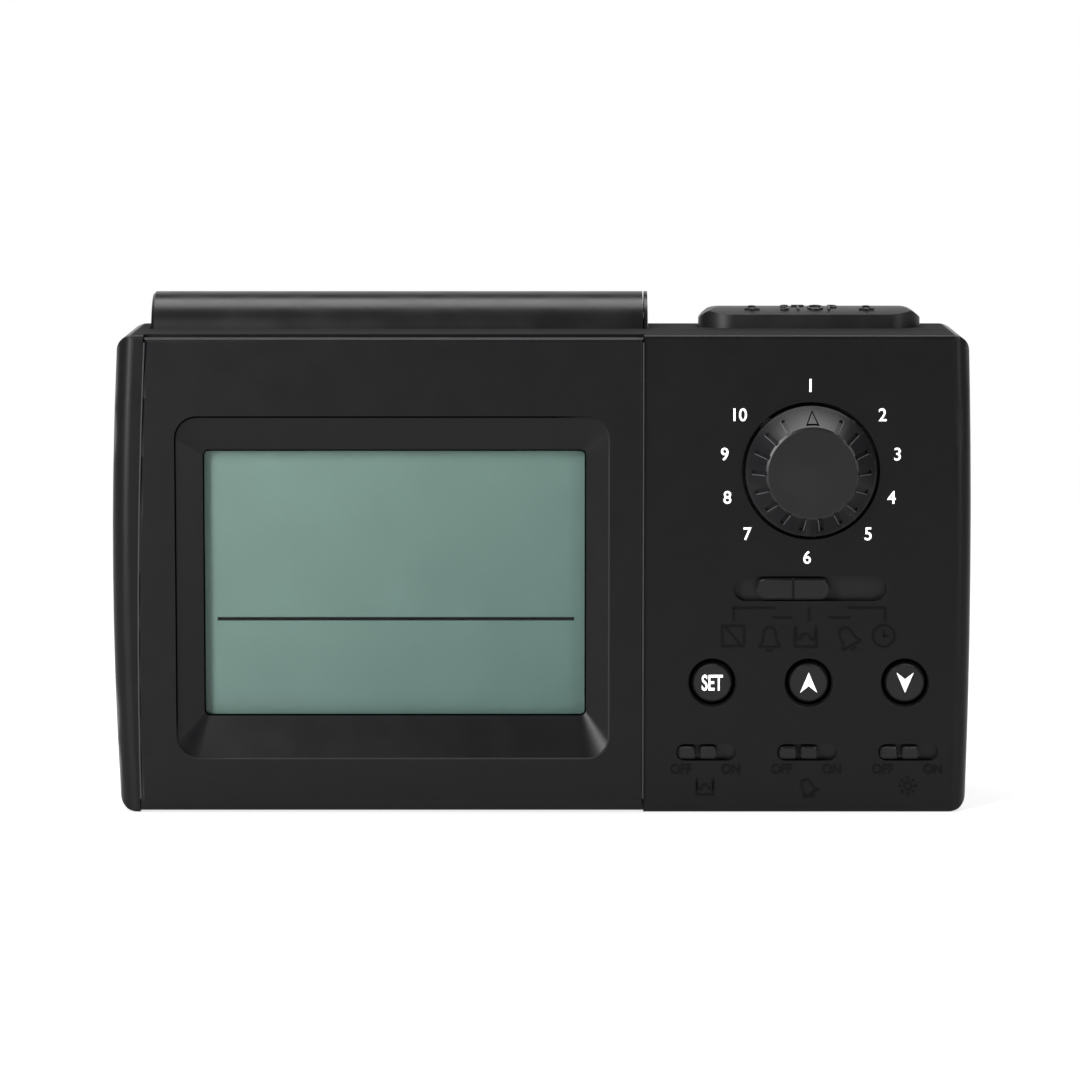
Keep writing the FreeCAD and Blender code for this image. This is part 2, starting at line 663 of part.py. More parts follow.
def cut_across(body, name, sketch, length):
    """Side sketches: a cut on both sides of the sketch."""
    return extrude(body, "Pocket", name, sketch, length, both_ways=True)


def turn(body, kind, name, sketch):
    """A full turn of the sketch about its own vertical axis."""
    feature = body.newObject(f"PartDesign::{kind}", f"{body.Name}_{name}")
    feature.Profile = sketch
    feature.ReferenceAxis = (sketch, ["V_Axis"])
    feature.Angle = 360
    sketch.Visibility = False
    return feature


def round_edges(body, name, radius, wanted):
    """Rounds the edges of the body so far for which wanted(edge) is true."""
    doc.recompute()
    base = body.Tip
    chosen = [f"Edge{number}" for number, edge in enumerate(base.Shape.Edges, start=1) if wanted(edge)]
    feature = body.newObject("PartDesign::Fillet", f"{body.Name}_{name}")
    feature.Base = (base, chosen)
    feature.setExpression("Radius", as_size(radius).formula)
    return feature


def bevel_edges(body, name, size, wanted):
    """Bevels the edges of the body so far for which wanted(edge) is true."""
    doc.recompute()
    base = body.Tip
    chosen = [f"Edge{number}" for number, edge in enumerate(base.Shape.Edges, start=1) if wanted(edge)]
    feature = body.newObject("PartDesign::Chamfer", f"{body.Name}_{name}")
    feature.Base = (base, chosen)
    feature.setExpression("Size", as_size(size).formula)
    return feature


def runs_along(edge, axis):
    """True for a straight edge along the axis 0, 1 or 2."""
    if edge.Curve.TypeId != "Part::GeomLine":
        return False
    direction = edge.Curve.Direction
    return abs(abs(direction[axis]) - 1) < 1e-6


def lies_at(edge, axis, size):
    """True if all of the edge lies in the plane where the coordinate is the size."""
    low = (edge.BoundBox.XMin, edge.BoundBox.YMin, edge.BoundBox.ZMin)[axis]
    high = (edge.BoundBox.XMax, edge.BoundBox.YMax, edge.BoundBox.ZMax)[axis]
    return abs(low - size.value) < 1e-3 and abs(high - size.value) < 1e-3


# ---------------------------------------------------------------------------------------------------
# Case
# ---------------------------------------------------------------------------------------------------
def add_case_outline(sketch):
    left = Dims.left_bow - half_width
    right = half_width - Dims.right_bow
    add_bowed(sketch, left, right, 0, case_top, Dims.left_bow, Dims.right_bow)


def roll_side(body, name, side, bow):
    """Takes off the edge between the front face and one side, along the whole of its bulge."""
    radius = bow_radius(case_top, bow)
    roll = Dims.side_roll
    centre_x = (half_width - radius) * side
    profile = new_sketch(body, name, "top", centre_x, 0, mid_height)
    start = (radius - roll) * side
    end = radius * side
    beyond = (radius + roll) * side
    behind = face_y + roll
    ahead = face_y - roll
    corners = ((end, behind), (beyond, behind), (beyond, ahead), (start, ahead), (start, face_y))
    points = [FreeCAD.Vector(x.value, y.value, 0) for x, y in corners]
    for index in range(4):
        profile.addGeometry(Part.LineSegment(points[index], points[index + 1]))
        fix_point(profile, index, 1, *corners[index])
        if index:
            profile.addConstraint(Sketcher.Constraint("Coincident", index - 1, 2, index, 1))
    fix_point(profile, 3, 2, *corners[4])
    middle = FreeCAD.Vector(start.value, behind.value, 0)
    crest = middle + FreeCAD.Vector(side, -1, 0).normalize() * roll.value
    add_centred_arc(profile, 3, 0, points[4], crest, points[0], start)
    turn(body, "Groove", f"{name}_cut", profile)


def make_front_housing():
    """Open-backed shell with the display channel, the openings for the controls and all screw posts."""
    body = new_body("front_housing")
    outline = new_sketch(body, "outline", "front", 0, face_y, 0)
    add_case_outline(outline)
    pad_back(body, "block", outline, Dims.front_depth)
    round_edges(body, "corners", Dims.case_corner, lambda edge: runs_along(edge, 1))
    round_edges(body, "face_edge", Dims.front_edge, lambda edge: lies_at(edge, 1, face_y))
    bevel_edges(body, "rim_bevel", Dims.parting_bevel, lambda edge: lies_at(edge, 1, parting_y))
    roll_side(body, "left_roll", -1, Dims.left_bow)
    roll_side(body, "right_roll", 1, Dims.right_bow)

    channel = new_sketch(body, "channel", "front", 0, face_y, 0)
    channel_left = panel_foot_left - Dims.panel_seam
    channel_low = -Dims.wall
    channel_high = case_top + Dims.wall
    add_bowed(
        channel, channel_left, channel_right, channel_low, channel_high, Dims.panel_bow, 0, Dims.panel_lean
    )
    cut_back(body, "channel_cut", channel, Dims.panel_thick - Dims.panel_proud)

    inner_top = case_top - Dims.wall
    behind_display = new_sketch(body, "display_room", "front", 0, parting_y, 0)
    add_bowed(behind_display, inner_left, display_end, Dims.wall, inner_top, Dims.left_bow, 0)
    cut_forward(body, "display_room_cut", behind_display, parting_y - display_inner_y)
    behind_controls = new_sketch(body, "control_room", "front", 0, parting_y, 0)
    add_bowed(behind_controls, display_end, inner_right, Dims.wall, inner_top, 0, Dims.right_bow)
    cut_forward(body, "control_room_cut", behind_controls, Dims.front_depth - Dims.wall)

    window = new_sketch(body, "window", "front", window_x, panel_back_y, window_z)
    margin = (Dims.lens_margin + Dims.seam) * 2
    add_rounded(window, Dims.window_width + margin, Dims.window_height + margin, Dims.window_corner)
    cut_back(body, "window_cut", window, Dims.display_wall + Dims.wall)

    openings = new_sketch(body, "openings", "front", 0, face_y, 0)
    add_circle(openings, Dims.dial_radius + Dims.dial_gap, dial_x, dial_z)
    add_slot(openings, mode_slot, Dims.mode_slot_width, mode_x, mode_z)
    for _, column in BUTTONS:
        across = button_x + Dims.button_pitch * column
        add_circle(openings, Dims.button_radius + Dims.button_play, across, Dims.button_rise)
    for _, column in SLIDERS:
        across = slide_x + slide_pitch * column
        add_slot(openings, slide_slot, Dims.slide_slot_width, across, Dims.slide_rise)
    cut_back(body, "openings_cut", openings, Dims.wall * 2)

    rings = new_sketch(body, "button_rings", "front", 0, face_y, 0)
    for _, column in BUTTONS:
        add_circle(rings, Dims.button_ring, button_x + Dims.button_pitch * column, Dims.button_rise)
    cut_back(body, "button_rings_cut", rings, Dims.button_ring_deep)

    rails = new_sketch(body, "rails", "front", 0, inner_face_y, 0)
    rail = Dims.strip_thick
    for shift in (-1, 1):
        offset = (Dims.mode_slot_width / 2 + Dims.wall + Dims.slide_gap + rail / 2) * shift
        add_rectangle(rails, mode_slot, rail, mode_x, mode_z + offset)
    pad_back(body, "rails_pad", rails, Dims.slide_gap + Dims.strip_thick)

    for side, posts, reach in (
        ("left", case_screws[:2], parting_y - display_inner_y),
        ("right", case_screws[2:], Dims.front_depth - Dims.wall),
    ):
        sketch = new_sketch(body, f"case_posts_{side}", "front", 0, parting_y, 0)
        for x, z in posts:
            add_circle(sketch, Dims.boss_radius, x, z)
        pad_forward(body, f"case_posts_{side}_pad", sketch, reach + Dims.rest_gap)
    for side, posts, reach in (
        ("main", main_posts, board_front_y - display_inner_y),
        ("control", control_posts, board_front_y - inner_face_y),
    ):
        sketch = new_sketch(body, f"{side}_posts", "front", 0, board_front_y, 0)
        for x, z in posts:
            add_circle(sketch, Dims.post_radius, x, z)
        pad_forward(body, f"{side}_posts_pad", sketch, reach + Dims.rest_gap)

    pilots = new_sketch(body, "case_pilots", "front", 0, parting_y, 0)
    for x, z in case_screws:
        add_circle(pilots, Dims.screw_core, x, z)
    cut_forward(body, "case_pilots_cut", pilots, Dims.screw_bite + Dims.wall)
    board_pilots = new_sketch(body, "board_pilots", "front", 0, board_front_y, 0)
    for x, z in main_posts + control_posts:
        add_circle(board_pilots, Dims.board_screw_core, x, z)
    cut_forward(body, "board_pilots_cut", board_pilots, Dims.board_screw_bite + Dims.seam)
    return body


def make_rear_housing():
    """Shell with the stand's recess and trough, the battery tub, the sound slots and the stop opening."""
    body = new_body("rear_housing")
    outline = new_sketch(body, "outline", "front", 0, parting_y, 0)
    add_case_outline(outline)
    pad_back(body, "block", outline, rear_depth)
    round_edges(body, "corners", Dims.case_corner, lambda edge: runs_along(edge, 1))
    round_edges(body, "back_edge", Dims.back_edge, lambda edge: lies_at(edge, 1, back_y))
    bevel_edges(body, "rim_bevel", Dims.parting_bevel, lambda edge: lies_at(edge, 1, parting_y))

    trough_floor = barrel_z - trough_radius - Dims.wall
    left_room = new_sketch(body, "left_room", "front", 0, parting_y, 0)
    add_bowed(left_room, inner_left, bearing_right, Dims.wall, trough_floor, Dims.left_bow, 0)
    cut_back(body, "left_room_cut", left_room, recess_y - Dims.wall - parting_y)
    right_room = new_sketch(body, "right_room", "front", 0, parting_y, 0)
    add_bowed(right_room, bearing_right, inner_right, Dims.wall, case_top - Dims.wall, 0, Dims.right_bow)
    cut_back(body, "right_room_cut", right_room, rear_depth - Dims.wall)

    tub_high = door_high + Dims.door_play + Dims.wall
    tub = new_sketch(body, "tub", "front", bay_middle, parting_y, 0)
    add_box(tub, -tub_width / 2, tub_width / 2, Dims.wall / 2, tub_high)
    pad_back(body, "tub_pad", tub, recess_y - parting_y)
    tub_front = new_sketch(body, "tub_front", "front", bay_middle, parting_y, 0)
    front_half = Dims.bay_length / 2 + Dims.wall
    add_box(tub_front, -front_half, front_half, Dims.wall + Dims.seam, bay_high + Dims.wall)
    pad_forward(body, "tub_front_pad", tub_front, parting_y - bay_bottom_y + Dims.wall)

    bosses = new_sketch(body, "bosses", "front", 0, parting_y, 0)
    for x, z in case_screws:
        add_circle(bosses, Dims.boss_radius, x, z)
    pad_back(body, "bosses_pad", bosses, recess_y - parting_y)
    long_bosses = new_sketch(body, "long_bosses", "front", 0, parting_y, 0)
    for x, z in case_screws[2:]:
        add_circle(long_bosses, Dims.boss_radius, x, z)
    pad_back(body, "long_bosses_pad", long_bosses, rear_depth - Dims.rest_gap)

    ring = new_sketch(body, "speaker_ring", "front", speaker_x, speaker_front_y, speaker_z)
    add_circle(ring, Dims.speaker_radius + Dims.seam + Dims.wall / 2)
    add_circle(ring, Dims.speaker_radius + Dims.seam)
    pad_forward(body, "speaker_ring_pad", ring, Dims.wall * 2)

    ledges = new_sketch(body, "ledges", "front", stop_x, speaker_front_y, stop_board_z)
    for side in (-1, 1):
        across = Dims.stop_length / 2 * side * LEDGE_PLACE
        add_rectangle(ledges, Dims.wall * 2, Dims.wall, across, -Dims.wall / 2)
    pad_forward(body, "ledges_pad", ledges, Dims.stop_width)

    recess = new_sketch(body, "recess", "front", 0, back_y, 0)
    add_box(recess, recess_left, recess_right, -Dims.wall, case_top + Dims.wall)
    cut_forward(body, "recess_cut", recess, back_y - recess_y)
    trough = new_sketch(body, "trough", "side", stand_middle, barrel_y, barrel_z)
    add_circle(trough, trough_radius)
    cut_across(body, "trough_cut", trough, stand_length + Dims.stand_gap * 2)

    pins = new_sketch(body, "pin_holes", "side", stand_middle, barrel_y, barrel_z)
    add_circle(pins, Dims.pin_radius)
    cut_across(body, "pin_holes_cut", pins, stand_length + (Dims.stand_gap + Dims.pin_bite) * 2)

    bay = new_sketch(body, "bay", "front", bay_middle, recess_y, 0)
    add_box(bay, -Dims.bay_length / 2, Dims.bay_length / 2, Dims.bay_low, bay_high)
    cut_forward(body, "bay_cut", bay, recess_y - bay_bottom_y)
    doorway = new_sketch(body, "doorway", "front", bay_middle, recess_y, 0)
    doorway_half = door_width / 2 + Dims.door_play
    add_box(doorway, -doorway_half, doorway_half, -Dims.wall, door_high + Dims.door_play)
    cut_forward(body, "doorway_cut", doorway, recess_y - door_inner_y)
    grooves = new_sketch(body, "door_grooves", "front", bay_middle, door_inner_y, 0)
    groove_half = doorway_half + Dims.door_tongue
    add_box(grooves, -groove_half, groove_half, -Dims.wall, door_high + Dims.door_play)
    cut_back(body, "door_grooves_cut", grooves, Dims.door_thick / 2 + Dims.door_play)

    slots = new_sketch(body, "sound_slots", "front", speaker_x, back_y, speaker_z)
    for index in range(GRILLE_SLOTS):
        step = index - (GRILLE_SLOTS - 1) / 2
        height = Dims.grille_pitch * step
        reach = root(Dims.grille_radius * Dims.grille_radius - height * height)
        add_slot(slots, reach * 2, Dims.grille_slot, 0, height)
    cut_forward(body, "sound_slots_cut", slots, Dims.wall * 1.5)

    stop = new_sketch(body, "stop_opening", "top", stop_x, stop_y, case_top)
    add_slot(stop, Dims.stop_length + Dims.stop_gap * 2, Dims.stop_width + Dims.stop_gap * 2)
    extrude(body, "Pocket", "stop_opening_cut", stop, Dims.wall * 1.5)

    wells = new_sketch(body, "right_wells", "front", 0, back_y, 0)
    for x, z in case_screws[2:]:
        add_circle(wells, Dims.head_radius + Dims.seam, x, z)
    cut_forward(body, "right_wells_cut", wells, Dims.sink_deep)
    left_wells = new_sketch(body, "left_wells", "front", 0, back_y, 0)
    for x, z in case_screws[:2]:
        add_circle(left_wells, Dims.head_radius + Dims.seam, x, z)
    cut_forward(body, "left_wells_cut", left_wells, Dims.sink_deep)
    holes = new_sketch(body, "screw_holes", "front", 0, parting_y, 0)
    for x, z in case_screws:
        add_circle(holes, Dims.screw_radius + Dims.rest_gap, x, z)
    cut_back(body, "screw_holes_cut", holes, rear_depth)
    return body


def make_case_screws():
    """Four screws from the back, sunk in their wells."""
    body = new_body("case_screws")
    seat_y = back_y - Dims.sink_deep
    heads = new_sketch(body, "heads", "front", 0, seat_y, 0)
    for x, z in case_screws:
        add_circle(heads, Dims.head_radius, x, z)
    pad_back(body, "heads_pad", heads, Dims.head_thick)
    shanks = new_sketch(body, "shanks", "front", 0, seat_y, 0)
    for x, z in case_screws:
        add_circle(shanks, Dims.screw_core, x, z)
    pad_forward(body, "shanks_pad", shanks, seat_y - parting_y + Dims.screw_bite)
    return body


# ---------------------------------------------------------------------------------------------------
# Display
# ---------------------------------------------------------------------------------------------------
def make_display_surround():
    """Panel that lies in the front housing's channel, with a sloping frame round the display."""
    body = new_body("display_surround")
    outline = new_sketch(body, "outline", "front", 0, panel_back_y, 0)
    high = case_top - Dims.panel_inset
    add_bowed(
        outline, panel_foot_left, panel_right, Dims.panel_inset, high, Dims.panel_bow, 0, Dims.panel_lean
    )
    pad_forward(body, "plate", outline, Dims.panel_thick)
    round_edges(
        body,
        "rolled_edges",
        Dims.panel_roll,
        lambda edge: lies_at(edge, 1, panel_face_y) and not lies_at(edge, 2, Dims.panel_inset),
    )
    bevel = new_sketch(body, "lower_bevel", "side", panel_middle, 0, 0)
    bevel_high = Dims.panel_inset + Dims.panel_bevel
    ahead = panel_face_y - Dims.wall
    add_outline(
        bevel,
        (
            (panel_face_y, bevel_high),
            (ahead, bevel_high),
            (ahead, -Dims.wall),
            (panel_face_y + Dims.panel_bevel_deep, -Dims.wall),
            (panel_face_y + Dims.panel_bevel_deep, Dims.panel_inset),
        ),
    )
    cut_across(body, "lower_bevel_cut", bevel, Dims.panel_width * 1.2)

    step_y = panel_face_y + Dims.bezel_step
    step = new_sketch(body, "frame_step", "front", bezel_x, panel_face_y, bezel_z)
    add_rounded(step, Dims.bezel_width, Dims.bezel_height, Dims.bezel_corner)
    cut_back(body, "frame_step_cut", step, Dims.bezel_step)
    outer = new_sketch(body, "frame_outer", "front", bezel_x, step_y, bezel_z)
    add_rounded(outer, Dims.bezel_width, Dims.bezel_height, Dims.bezel_corner)
    slope_end_y = panel_face_y + Dims.bezel_deep
    inner = new_sketch(body, "frame_inner", "front", window_x, slope_end_y, window_z)
    add_rounded(inner, Dims.window_width, Dims.window_height, Dims.window_corner)
    slope = body.newObject("PartDesign::SubtractiveLoft", "display_surround_slope")
    slope.Profile = outer
    slope.Sections = [inner]
    slope.Ruled = True
    window = new_sketch(body, "window", "front", window_x, slope_end_y, window_z)
    add_rounded(window, Dims.window_width, Dims.window_height, Dims.window_corner)
    cut_back(body, "window_cut", window, Dims.panel_thick)
    return body


def make_sheet_piece(name, width, height, corner, front_y, thick):
    """A flat piece with small round corners, centred on the display."""
    body = new_body(name)
    sketch = new_sketch(body, "outline", "front", window_x, front_y, window_z)
    add_rounded(sketch, width, height, corner)
    pad_back(body, "plate", sketch, thick)
    return body


def make_display_stack():
    """Clear window, two sheets of display glass, light guide, connector strips and their frame."""
    lens_width = Dims.window_width + Dims.lens_margin * 2
    lens_height = Dims.window_height + Dims.lens_margin * 2
    guide_width = Dims.window_width
    thick = Dims.glass_thick
    chip = Dims.seam
    corner = Dims.window_corner
    pieces = [
        make_sheet_piece("display_window", lens_width, lens_height, corner, panel_back_y, Dims.lens_thick),
        make_sheet_piece("lcd_front_glass", glass_width, glass_height, chip, display_inner_y, thick),
        make_sheet_piece("lcd_rear_glass", glass_width, rear_glass_height, chip, rear_glass_y, thick),
        make_sheet_piece("light_guide", guide_width, glass_height, chip, guide_y, Dims.guide_thick),
    ]

    strips = new_body("connector_strips")
    sketch = new_sketch(strips, "outline", "front", window_x, guide_y, window_z)
    for side in (-1, 1):
        height = (glass_height / 2 + Dims.glass_ledge / 2) * side
        add_rectangle(sketch, guide_width, Dims.strip_width, 0, height)
    pad_back(strips, "strips", sketch, board_front_y - guide_y)
    pieces.append(strips)

    lamps = new_body("backlight_lamps")
    lamp_width = Dims.glass_margin - Dims.rest_gap * 4
    sketch = new_sketch(lamps, "outline", "front", window_x, board_front_y, window_z)
    for side in (-1, 1):
        across = guide_width / 2 + Dims.rest_gap * 2 + lamp_width / 2
        add_rectangle(sketch, lamp_width, lamp_width * 1.5, across, Dims.window_height / 4 * side)
    pad_forward(lamps, "lamps", sketch, Dims.guide_thick * 0.7)
    pieces.append(lamps)

    holder = new_body("lcd_holder")
    outer = new_sketch(holder, "outline", "front", window_x, board_front_y, window_z)
    add_rounded(outer, frame_width, frame_height, Dims.holder_wall)
    add_rectangle(outer, frame_width - Dims.holder_wall * 2, frame_height - Dims.holder_wall * 2)
    pad_forward(holder, "frame", outer, board_front_y - display_inner_y)
    pieces.append(holder)
    return pieces


# ---------------------------------------------------------------------------------------------------
# Circuit boards
# ---------------------------------------------------------------------------------------------------
def make_board(name, left, right, posts, notched):
    """A circuit board with its screw holes and, where the case posts pass, round notches."""
    body = new_body(name)
    outline = new_sketch(body, "outline", "front", 0, board_front_y, 0)
    add_box(outline, left, right, Dims.board_low, board_high)
    pad_back(body, "plate", outline, Dims.board_thick)
    holes = new_sketch(body, "holes", "front", 0, board_front_y, 0)
    for x, z in posts:
        add_circle(holes, Dims.board_screw_core + Dims.board_screw_play, x, z)
    for x, z in notched:
        add_circle(holes, Dims.boss_radius + Dims.seam * 2, x, z)
    cut_back(body, "holes_cut", holes, Dims.board_thick)
    return body


def make_board_parts():
    """The parts soldered to the back of the main board."""
    chip_x = bay_middle
    chip_z = (bay_high + barrel_z) / 2
    chip = new_body("control_chip")
    dome = new_sketch(chip, "dome", "top", chip_x, 0, chip_z)
    radius = Dims.drop_radius
    high = board_back_y + Dims.drop_height
    add_outline(
        dome,
        (
            (0, board_back_y),
            (radius, board_back_y),
            (radius * DROP_SHOULDER, (board_back_y + high) / 2),
            (radius * DROP_TOP, high),
            (0, high),
        ),
    )
    turn(chip, "Revolution", "drop", dome)

    crystal = new_body("quartz_crystal")
    can = new_sketch(crystal, "can", "side", chip_x + radius * 2, board_back_y + Dims.crystal_radius, chip_z)
    add_circle(can, Dims.crystal_radius)
    pad_across(crystal, "can_pad", can, Dims.crystal_length)

    ribbon = new_body("ribbon_cable")
    cable = Dims.ribbon_thick
    arch = new_sketch(ribbon, "arch", "top", 0, 0, chip_z)
    left = main_right - Dims.ribbon_lap
    right = control_left + Dims.ribbon_lap
    high = board_back_y + Dims.ribbon_rise
    add_outline(
        arch,
        (
            (left, board_back_y),
            (left, high),
            (right, high),
            (right, board_back_y),
            (right - cable, board_back_y),
            (right - cable, high - cable),
            (left + cable, high - cable),
            (left + cable, board_back_y),
        ),
    )
    extrude(ribbon, "Pad", "cable", arch, Dims.ribbon_width, both_ways=True)

    capacitors = new_body("capacitors")
    cans = new_sketch(capacitors, "cans", "front", chip_x - radius * 2, board_back_y, chip_z)
    for side in (-1, 1):
        add_circle(cans, Dims.capacitor_radius, 0, Dims.capacitor_pitch / 2 * side)
    pad_back(capacitors, "cans_pad", cans, Dims.capacitor_height)
    return [chip, crystal, ribbon, capacitors]


def make_board_screws():
    """Screws that hold both boards to the front housing's posts."""
    body = new_body("board_screws")
    posts = main_posts + control_posts
    heads = new_sketch(body, "heads", "front", 0, board_back_y, 0)
    for x, z in posts:
        add_circle(heads, Dims.board_screw_head, x, z)
    pad_back(body, "heads_pad", heads, Dims.head_thick / 2)
    shanks = new_sketch(body, "shanks", "front", 0, board_back_y, 0)
    for x, z in posts:
        add_circle(shanks, Dims.board_screw_core, x, z)
    pad_forward(body, "shanks_pad", shanks, Dims.board_thick + Dims.board_screw_bite)
    return body


# ---------------------------------------------------------------------------------------------------
# Controls on the front
# ---------------------------------------------------------------------------------------------------
def make_city_dial():
    """Low knob with a sloping flank, engraved ticks and a D-shaped socket."""
    body = new_body("city_dial")
    hub = Dims.shaft_radius * 1.5
    hub_end_y = switch_front_y - Dims.seam * 2
    crown_y = face_y - Dims.dial_proud
    rim_y = face_y - Dims.dial_gap
    profile = new_sketch(body, "profile", "top", dial_x, 0, dial_z)
    flank_foot = Dims.dial_radius - Dims.dial_gap / 2
    foot_y = rim_y - Dims.dial_gap / 2
    add_outline(
        profile,
        (
            (0, crown_y),
            (Dims.dial_crown, crown_y),
            (flank_foot, foot_y),
            (Dims.dial_radius, rim_y),
            (Dims.dial_radius, face_y + Dims.dial_sunk),
            (hub, face_y + Dims.dial_sunk),
            (hub, hub_end_y),
            (0, hub_end_y),
        ),
    )
    turn(body, "Revolution", "knob", profile)
    bevel_edges(
        body,
        "crown_edge",
        Dims.crown_bevel,
        lambda edge: lies_at(edge, 1, crown_y) and edge.Curve.TypeId == "Part::GeomCircle",
    )
    socket = new_sketch(body, "socket", "front", dial_x, hub_end_y, dial_z)
    add_d_shape(socket, Dims.shaft_radius, Dims.shaft_flat)
    cut_forward(body, "socket_cut", socket, hub_end_y - face_y + Dims.dial_proud / 2)

    tick = new_sketch(body, "tick", "side", dial_x, 0, dial_z)
    tilt = FreeCAD.Rotation(FreeCAD.Vector(1, 0, 0), TICK_START)
    tick.AttachmentOffset = FreeCAD.Placement(tick.AttachmentOffset.Base, tilt)
    slope = (foot_y - crown_y) / (flank_foot - Dims.dial_crown)
    inner_y = crown_y + slope * (Dims.tick_inner - Dims.dial_crown) + Dims.tick_deep
    outer_y = crown_y + slope * (Dims.tick_outer - Dims.dial_crown) + Dims.tick_deep
    add_outline(
        tick,
        (
            (crown_y - Dims.tick_deep, Dims.tick_inner),
            (inner_y, Dims.tick_inner),
            (outer_y, Dims.tick_outer),
            (crown_y - Dims.tick_deep, Dims.tick_outer),
        ),
    )
    cut = cut_across(body, "tick_cut", tick, Dims.tick_width)
    ticks = body.newObject("PartDesign::PolarPattern", "city_dial_ticks")
    ticks.Originals = [cut]
    ticks.Axis = (profile, ["V_Axis"])
    ticks.Angle = TICK_SPAN
    ticks.Occurrences = TICKS
    body.Tip = ticks
    return body


def make_dial_shaft():
    body = new_body("dial_shaft")
    end_y = board_front_y - Dims.board_thick / 2
    sketch = new_sketch(body, "section", "front", dial_x, end_y, dial_z)
    add_d_shape(sketch, Dims.shaft_radius, Dims.shaft_flat)
    pad_forward(body, "shaft", sketch, end_y - face_y + Dims.dial_proud / 2 - Dims.seam)
    return body


def make_dial_switch():
    """Rotary switch on the control board: a square foot and a round body, bored for the shaft."""
    body = new_body("dial_switch")
    side = Dims.dial_radius * 1.5
    foot = new_sketch(body, "foot", "front", dial_x, board_front_y, dial_z)
    add_rounded(foot, side, side, Dims.wall)
    pad_forward(body, "foot_pad", foot, switch_height / 2)
    drum = new_sketch(body, "drum", "front", dial_x, board_front_y, dial_z)
    add_circle(drum, side / 2 - Dims.wall)
    pad_forward(body, "drum_pad", drum, switch_height)
    bore = new_sketch(body, "bore", "front", dial_x, switch_front_y, dial_z)
    add_circle(bore, Dims.shaft_radius + Dims.shaft_play)
    cut_back(body, "bore_cut", bore, switch_height)
    return body


def make_slider(name, middle, rise, strip, strip_width, add_finger):
    """A finger piece on a cover strip that runs behind the wall, with a leg into its switch."""
    body = new_body(name)
    plate = new_sketch(body, "strip", "front", middle, strip_front_y, rise)
    add_rectangle(plate, strip, strip_width)
    pad_back(body, "strip_pad", plate, Dims.strip_thick)
    finger = new_sketch(body, "finger", "front", middle, strip_front_y, rise)
    add_finger(finger)
    finger_y = face_y - Dims.grip_proud
    pad_forward(body, "finger_pad", finger, strip_front_y - finger_y)
    bevel_edges(body, "finger_edge", Dims.grip_bevel, lambda edge: lies_at(edge, 1, finger_y))
    leg = new_sketch(body, "leg", "front", middle, strip_back_y, rise)
    add_rectangle(leg, Dims.leg_length, Dims.leg_width)
    pad_back(body, "leg_pad", leg, leg_tip_y - strip_back_y)
    return body


def make_mode_slider():
    """Five-position slider: one long finger piece with a groove across its middle."""
    strip_width = Dims.mode_slot_width + Dims.wall * 2
    body = make_slider(
        "mode_slider",
        mode_rest,
        mode_z,
        mode_strip,
        strip_width,
        lambda sketch: add_slot(sketch, Dims.mode_grip, Dims.mode_grip_width),
    )
    groove = new_sketch(body, "groove", "front", mode_rest, face_y - Dims.grip_proud, mode_z)
    add_rectangle(groove, Dims.mode_groove, Dims.mode_slot_width)
    cut_back(body, "groove_cut", groove, Dims.grip_proud)
    return body


def add_finger_halves(sketch):
    """Two cushions side by side, as on the small sliders."""
    half = (Dims.slide_grip - Dims.slide_groove) / 2
    for side in (-1, 1):
        middle = (half + Dims.slide_groove) / 2 * side
        add_rounded(sketch, half, Dims.slide_grip_width, Dims.grip_round, middle)


def make_small_slider(name, column):
    """On-off slider, resting in its off position at the left."""
    middle = slide_x + slide_pitch * column - slide_rest_shift
    strip_width = Dims.slide_slot_width + Dims.wall
    return make_slider(name, middle, Dims.slide_rise, slide_strip, strip_width, add_finger_halves)


def make_slide_switch(name, places, travel, length):
    """Switch bodies on the control board, each with a slot for a slider's leg."""
    body = new_body(name)
    blocks = new_sketch(body, "blocks", "front", 0, board_front_y, 0)
    for x, z in places:
        add_rectangle(blocks, length, Dims.leg_width + Dims.wall * 2, x, z)
    pad_forward(body, "blocks_pad", blocks, switch_height)
    sockets = new_sketch(body, "sockets", "front", 0, switch_front_y, 0)
    for x, z in places:
        add_rectangle(sockets, travel + Dims.leg_length + socket_play, Dims.leg_width + socket_play, x, z)
    cut_back(body, "sockets_cut", sockets, leg_tip_y - switch_front_y + Dims.seam * 2)
    return body


def make_push_button(name, across):
    """A cap with a flange behind the wall and a stem into its switch."""
    body = new_body(name)
    flange_y = inner_face_y + Dims.rest_gap
    flange = new_sketch(body, "flange", "front", across, flange_y, Dims.button_rise)
    add_circle(flange, Dims.button_ring + Dims.seam)
    pad_back(body, "flange_pad", flange, Dims.wall / 2)
    cap = new_sketch(body, "cap", "front", across, flange_y, Dims.button_rise)
    add_circle(cap, Dims.button_radius)
    cap_y = face_y - Dims.button_proud
    pad_forward(body, "cap_pad", cap, flange_y - cap_y)
    stem = new_sketch(body, "stem", "front", across, flange_y, Dims.button_rise)
    add_circle(stem, Dims.button_radius / 2)
    pad_back(body, "stem_pad", stem, switch_front_y - flange_y + Dims.button_travel)
    bevel_edges(body, "cap_edge", Dims.button_bevel, lambda edge: lies_at(edge, 1, cap_y))
    return body


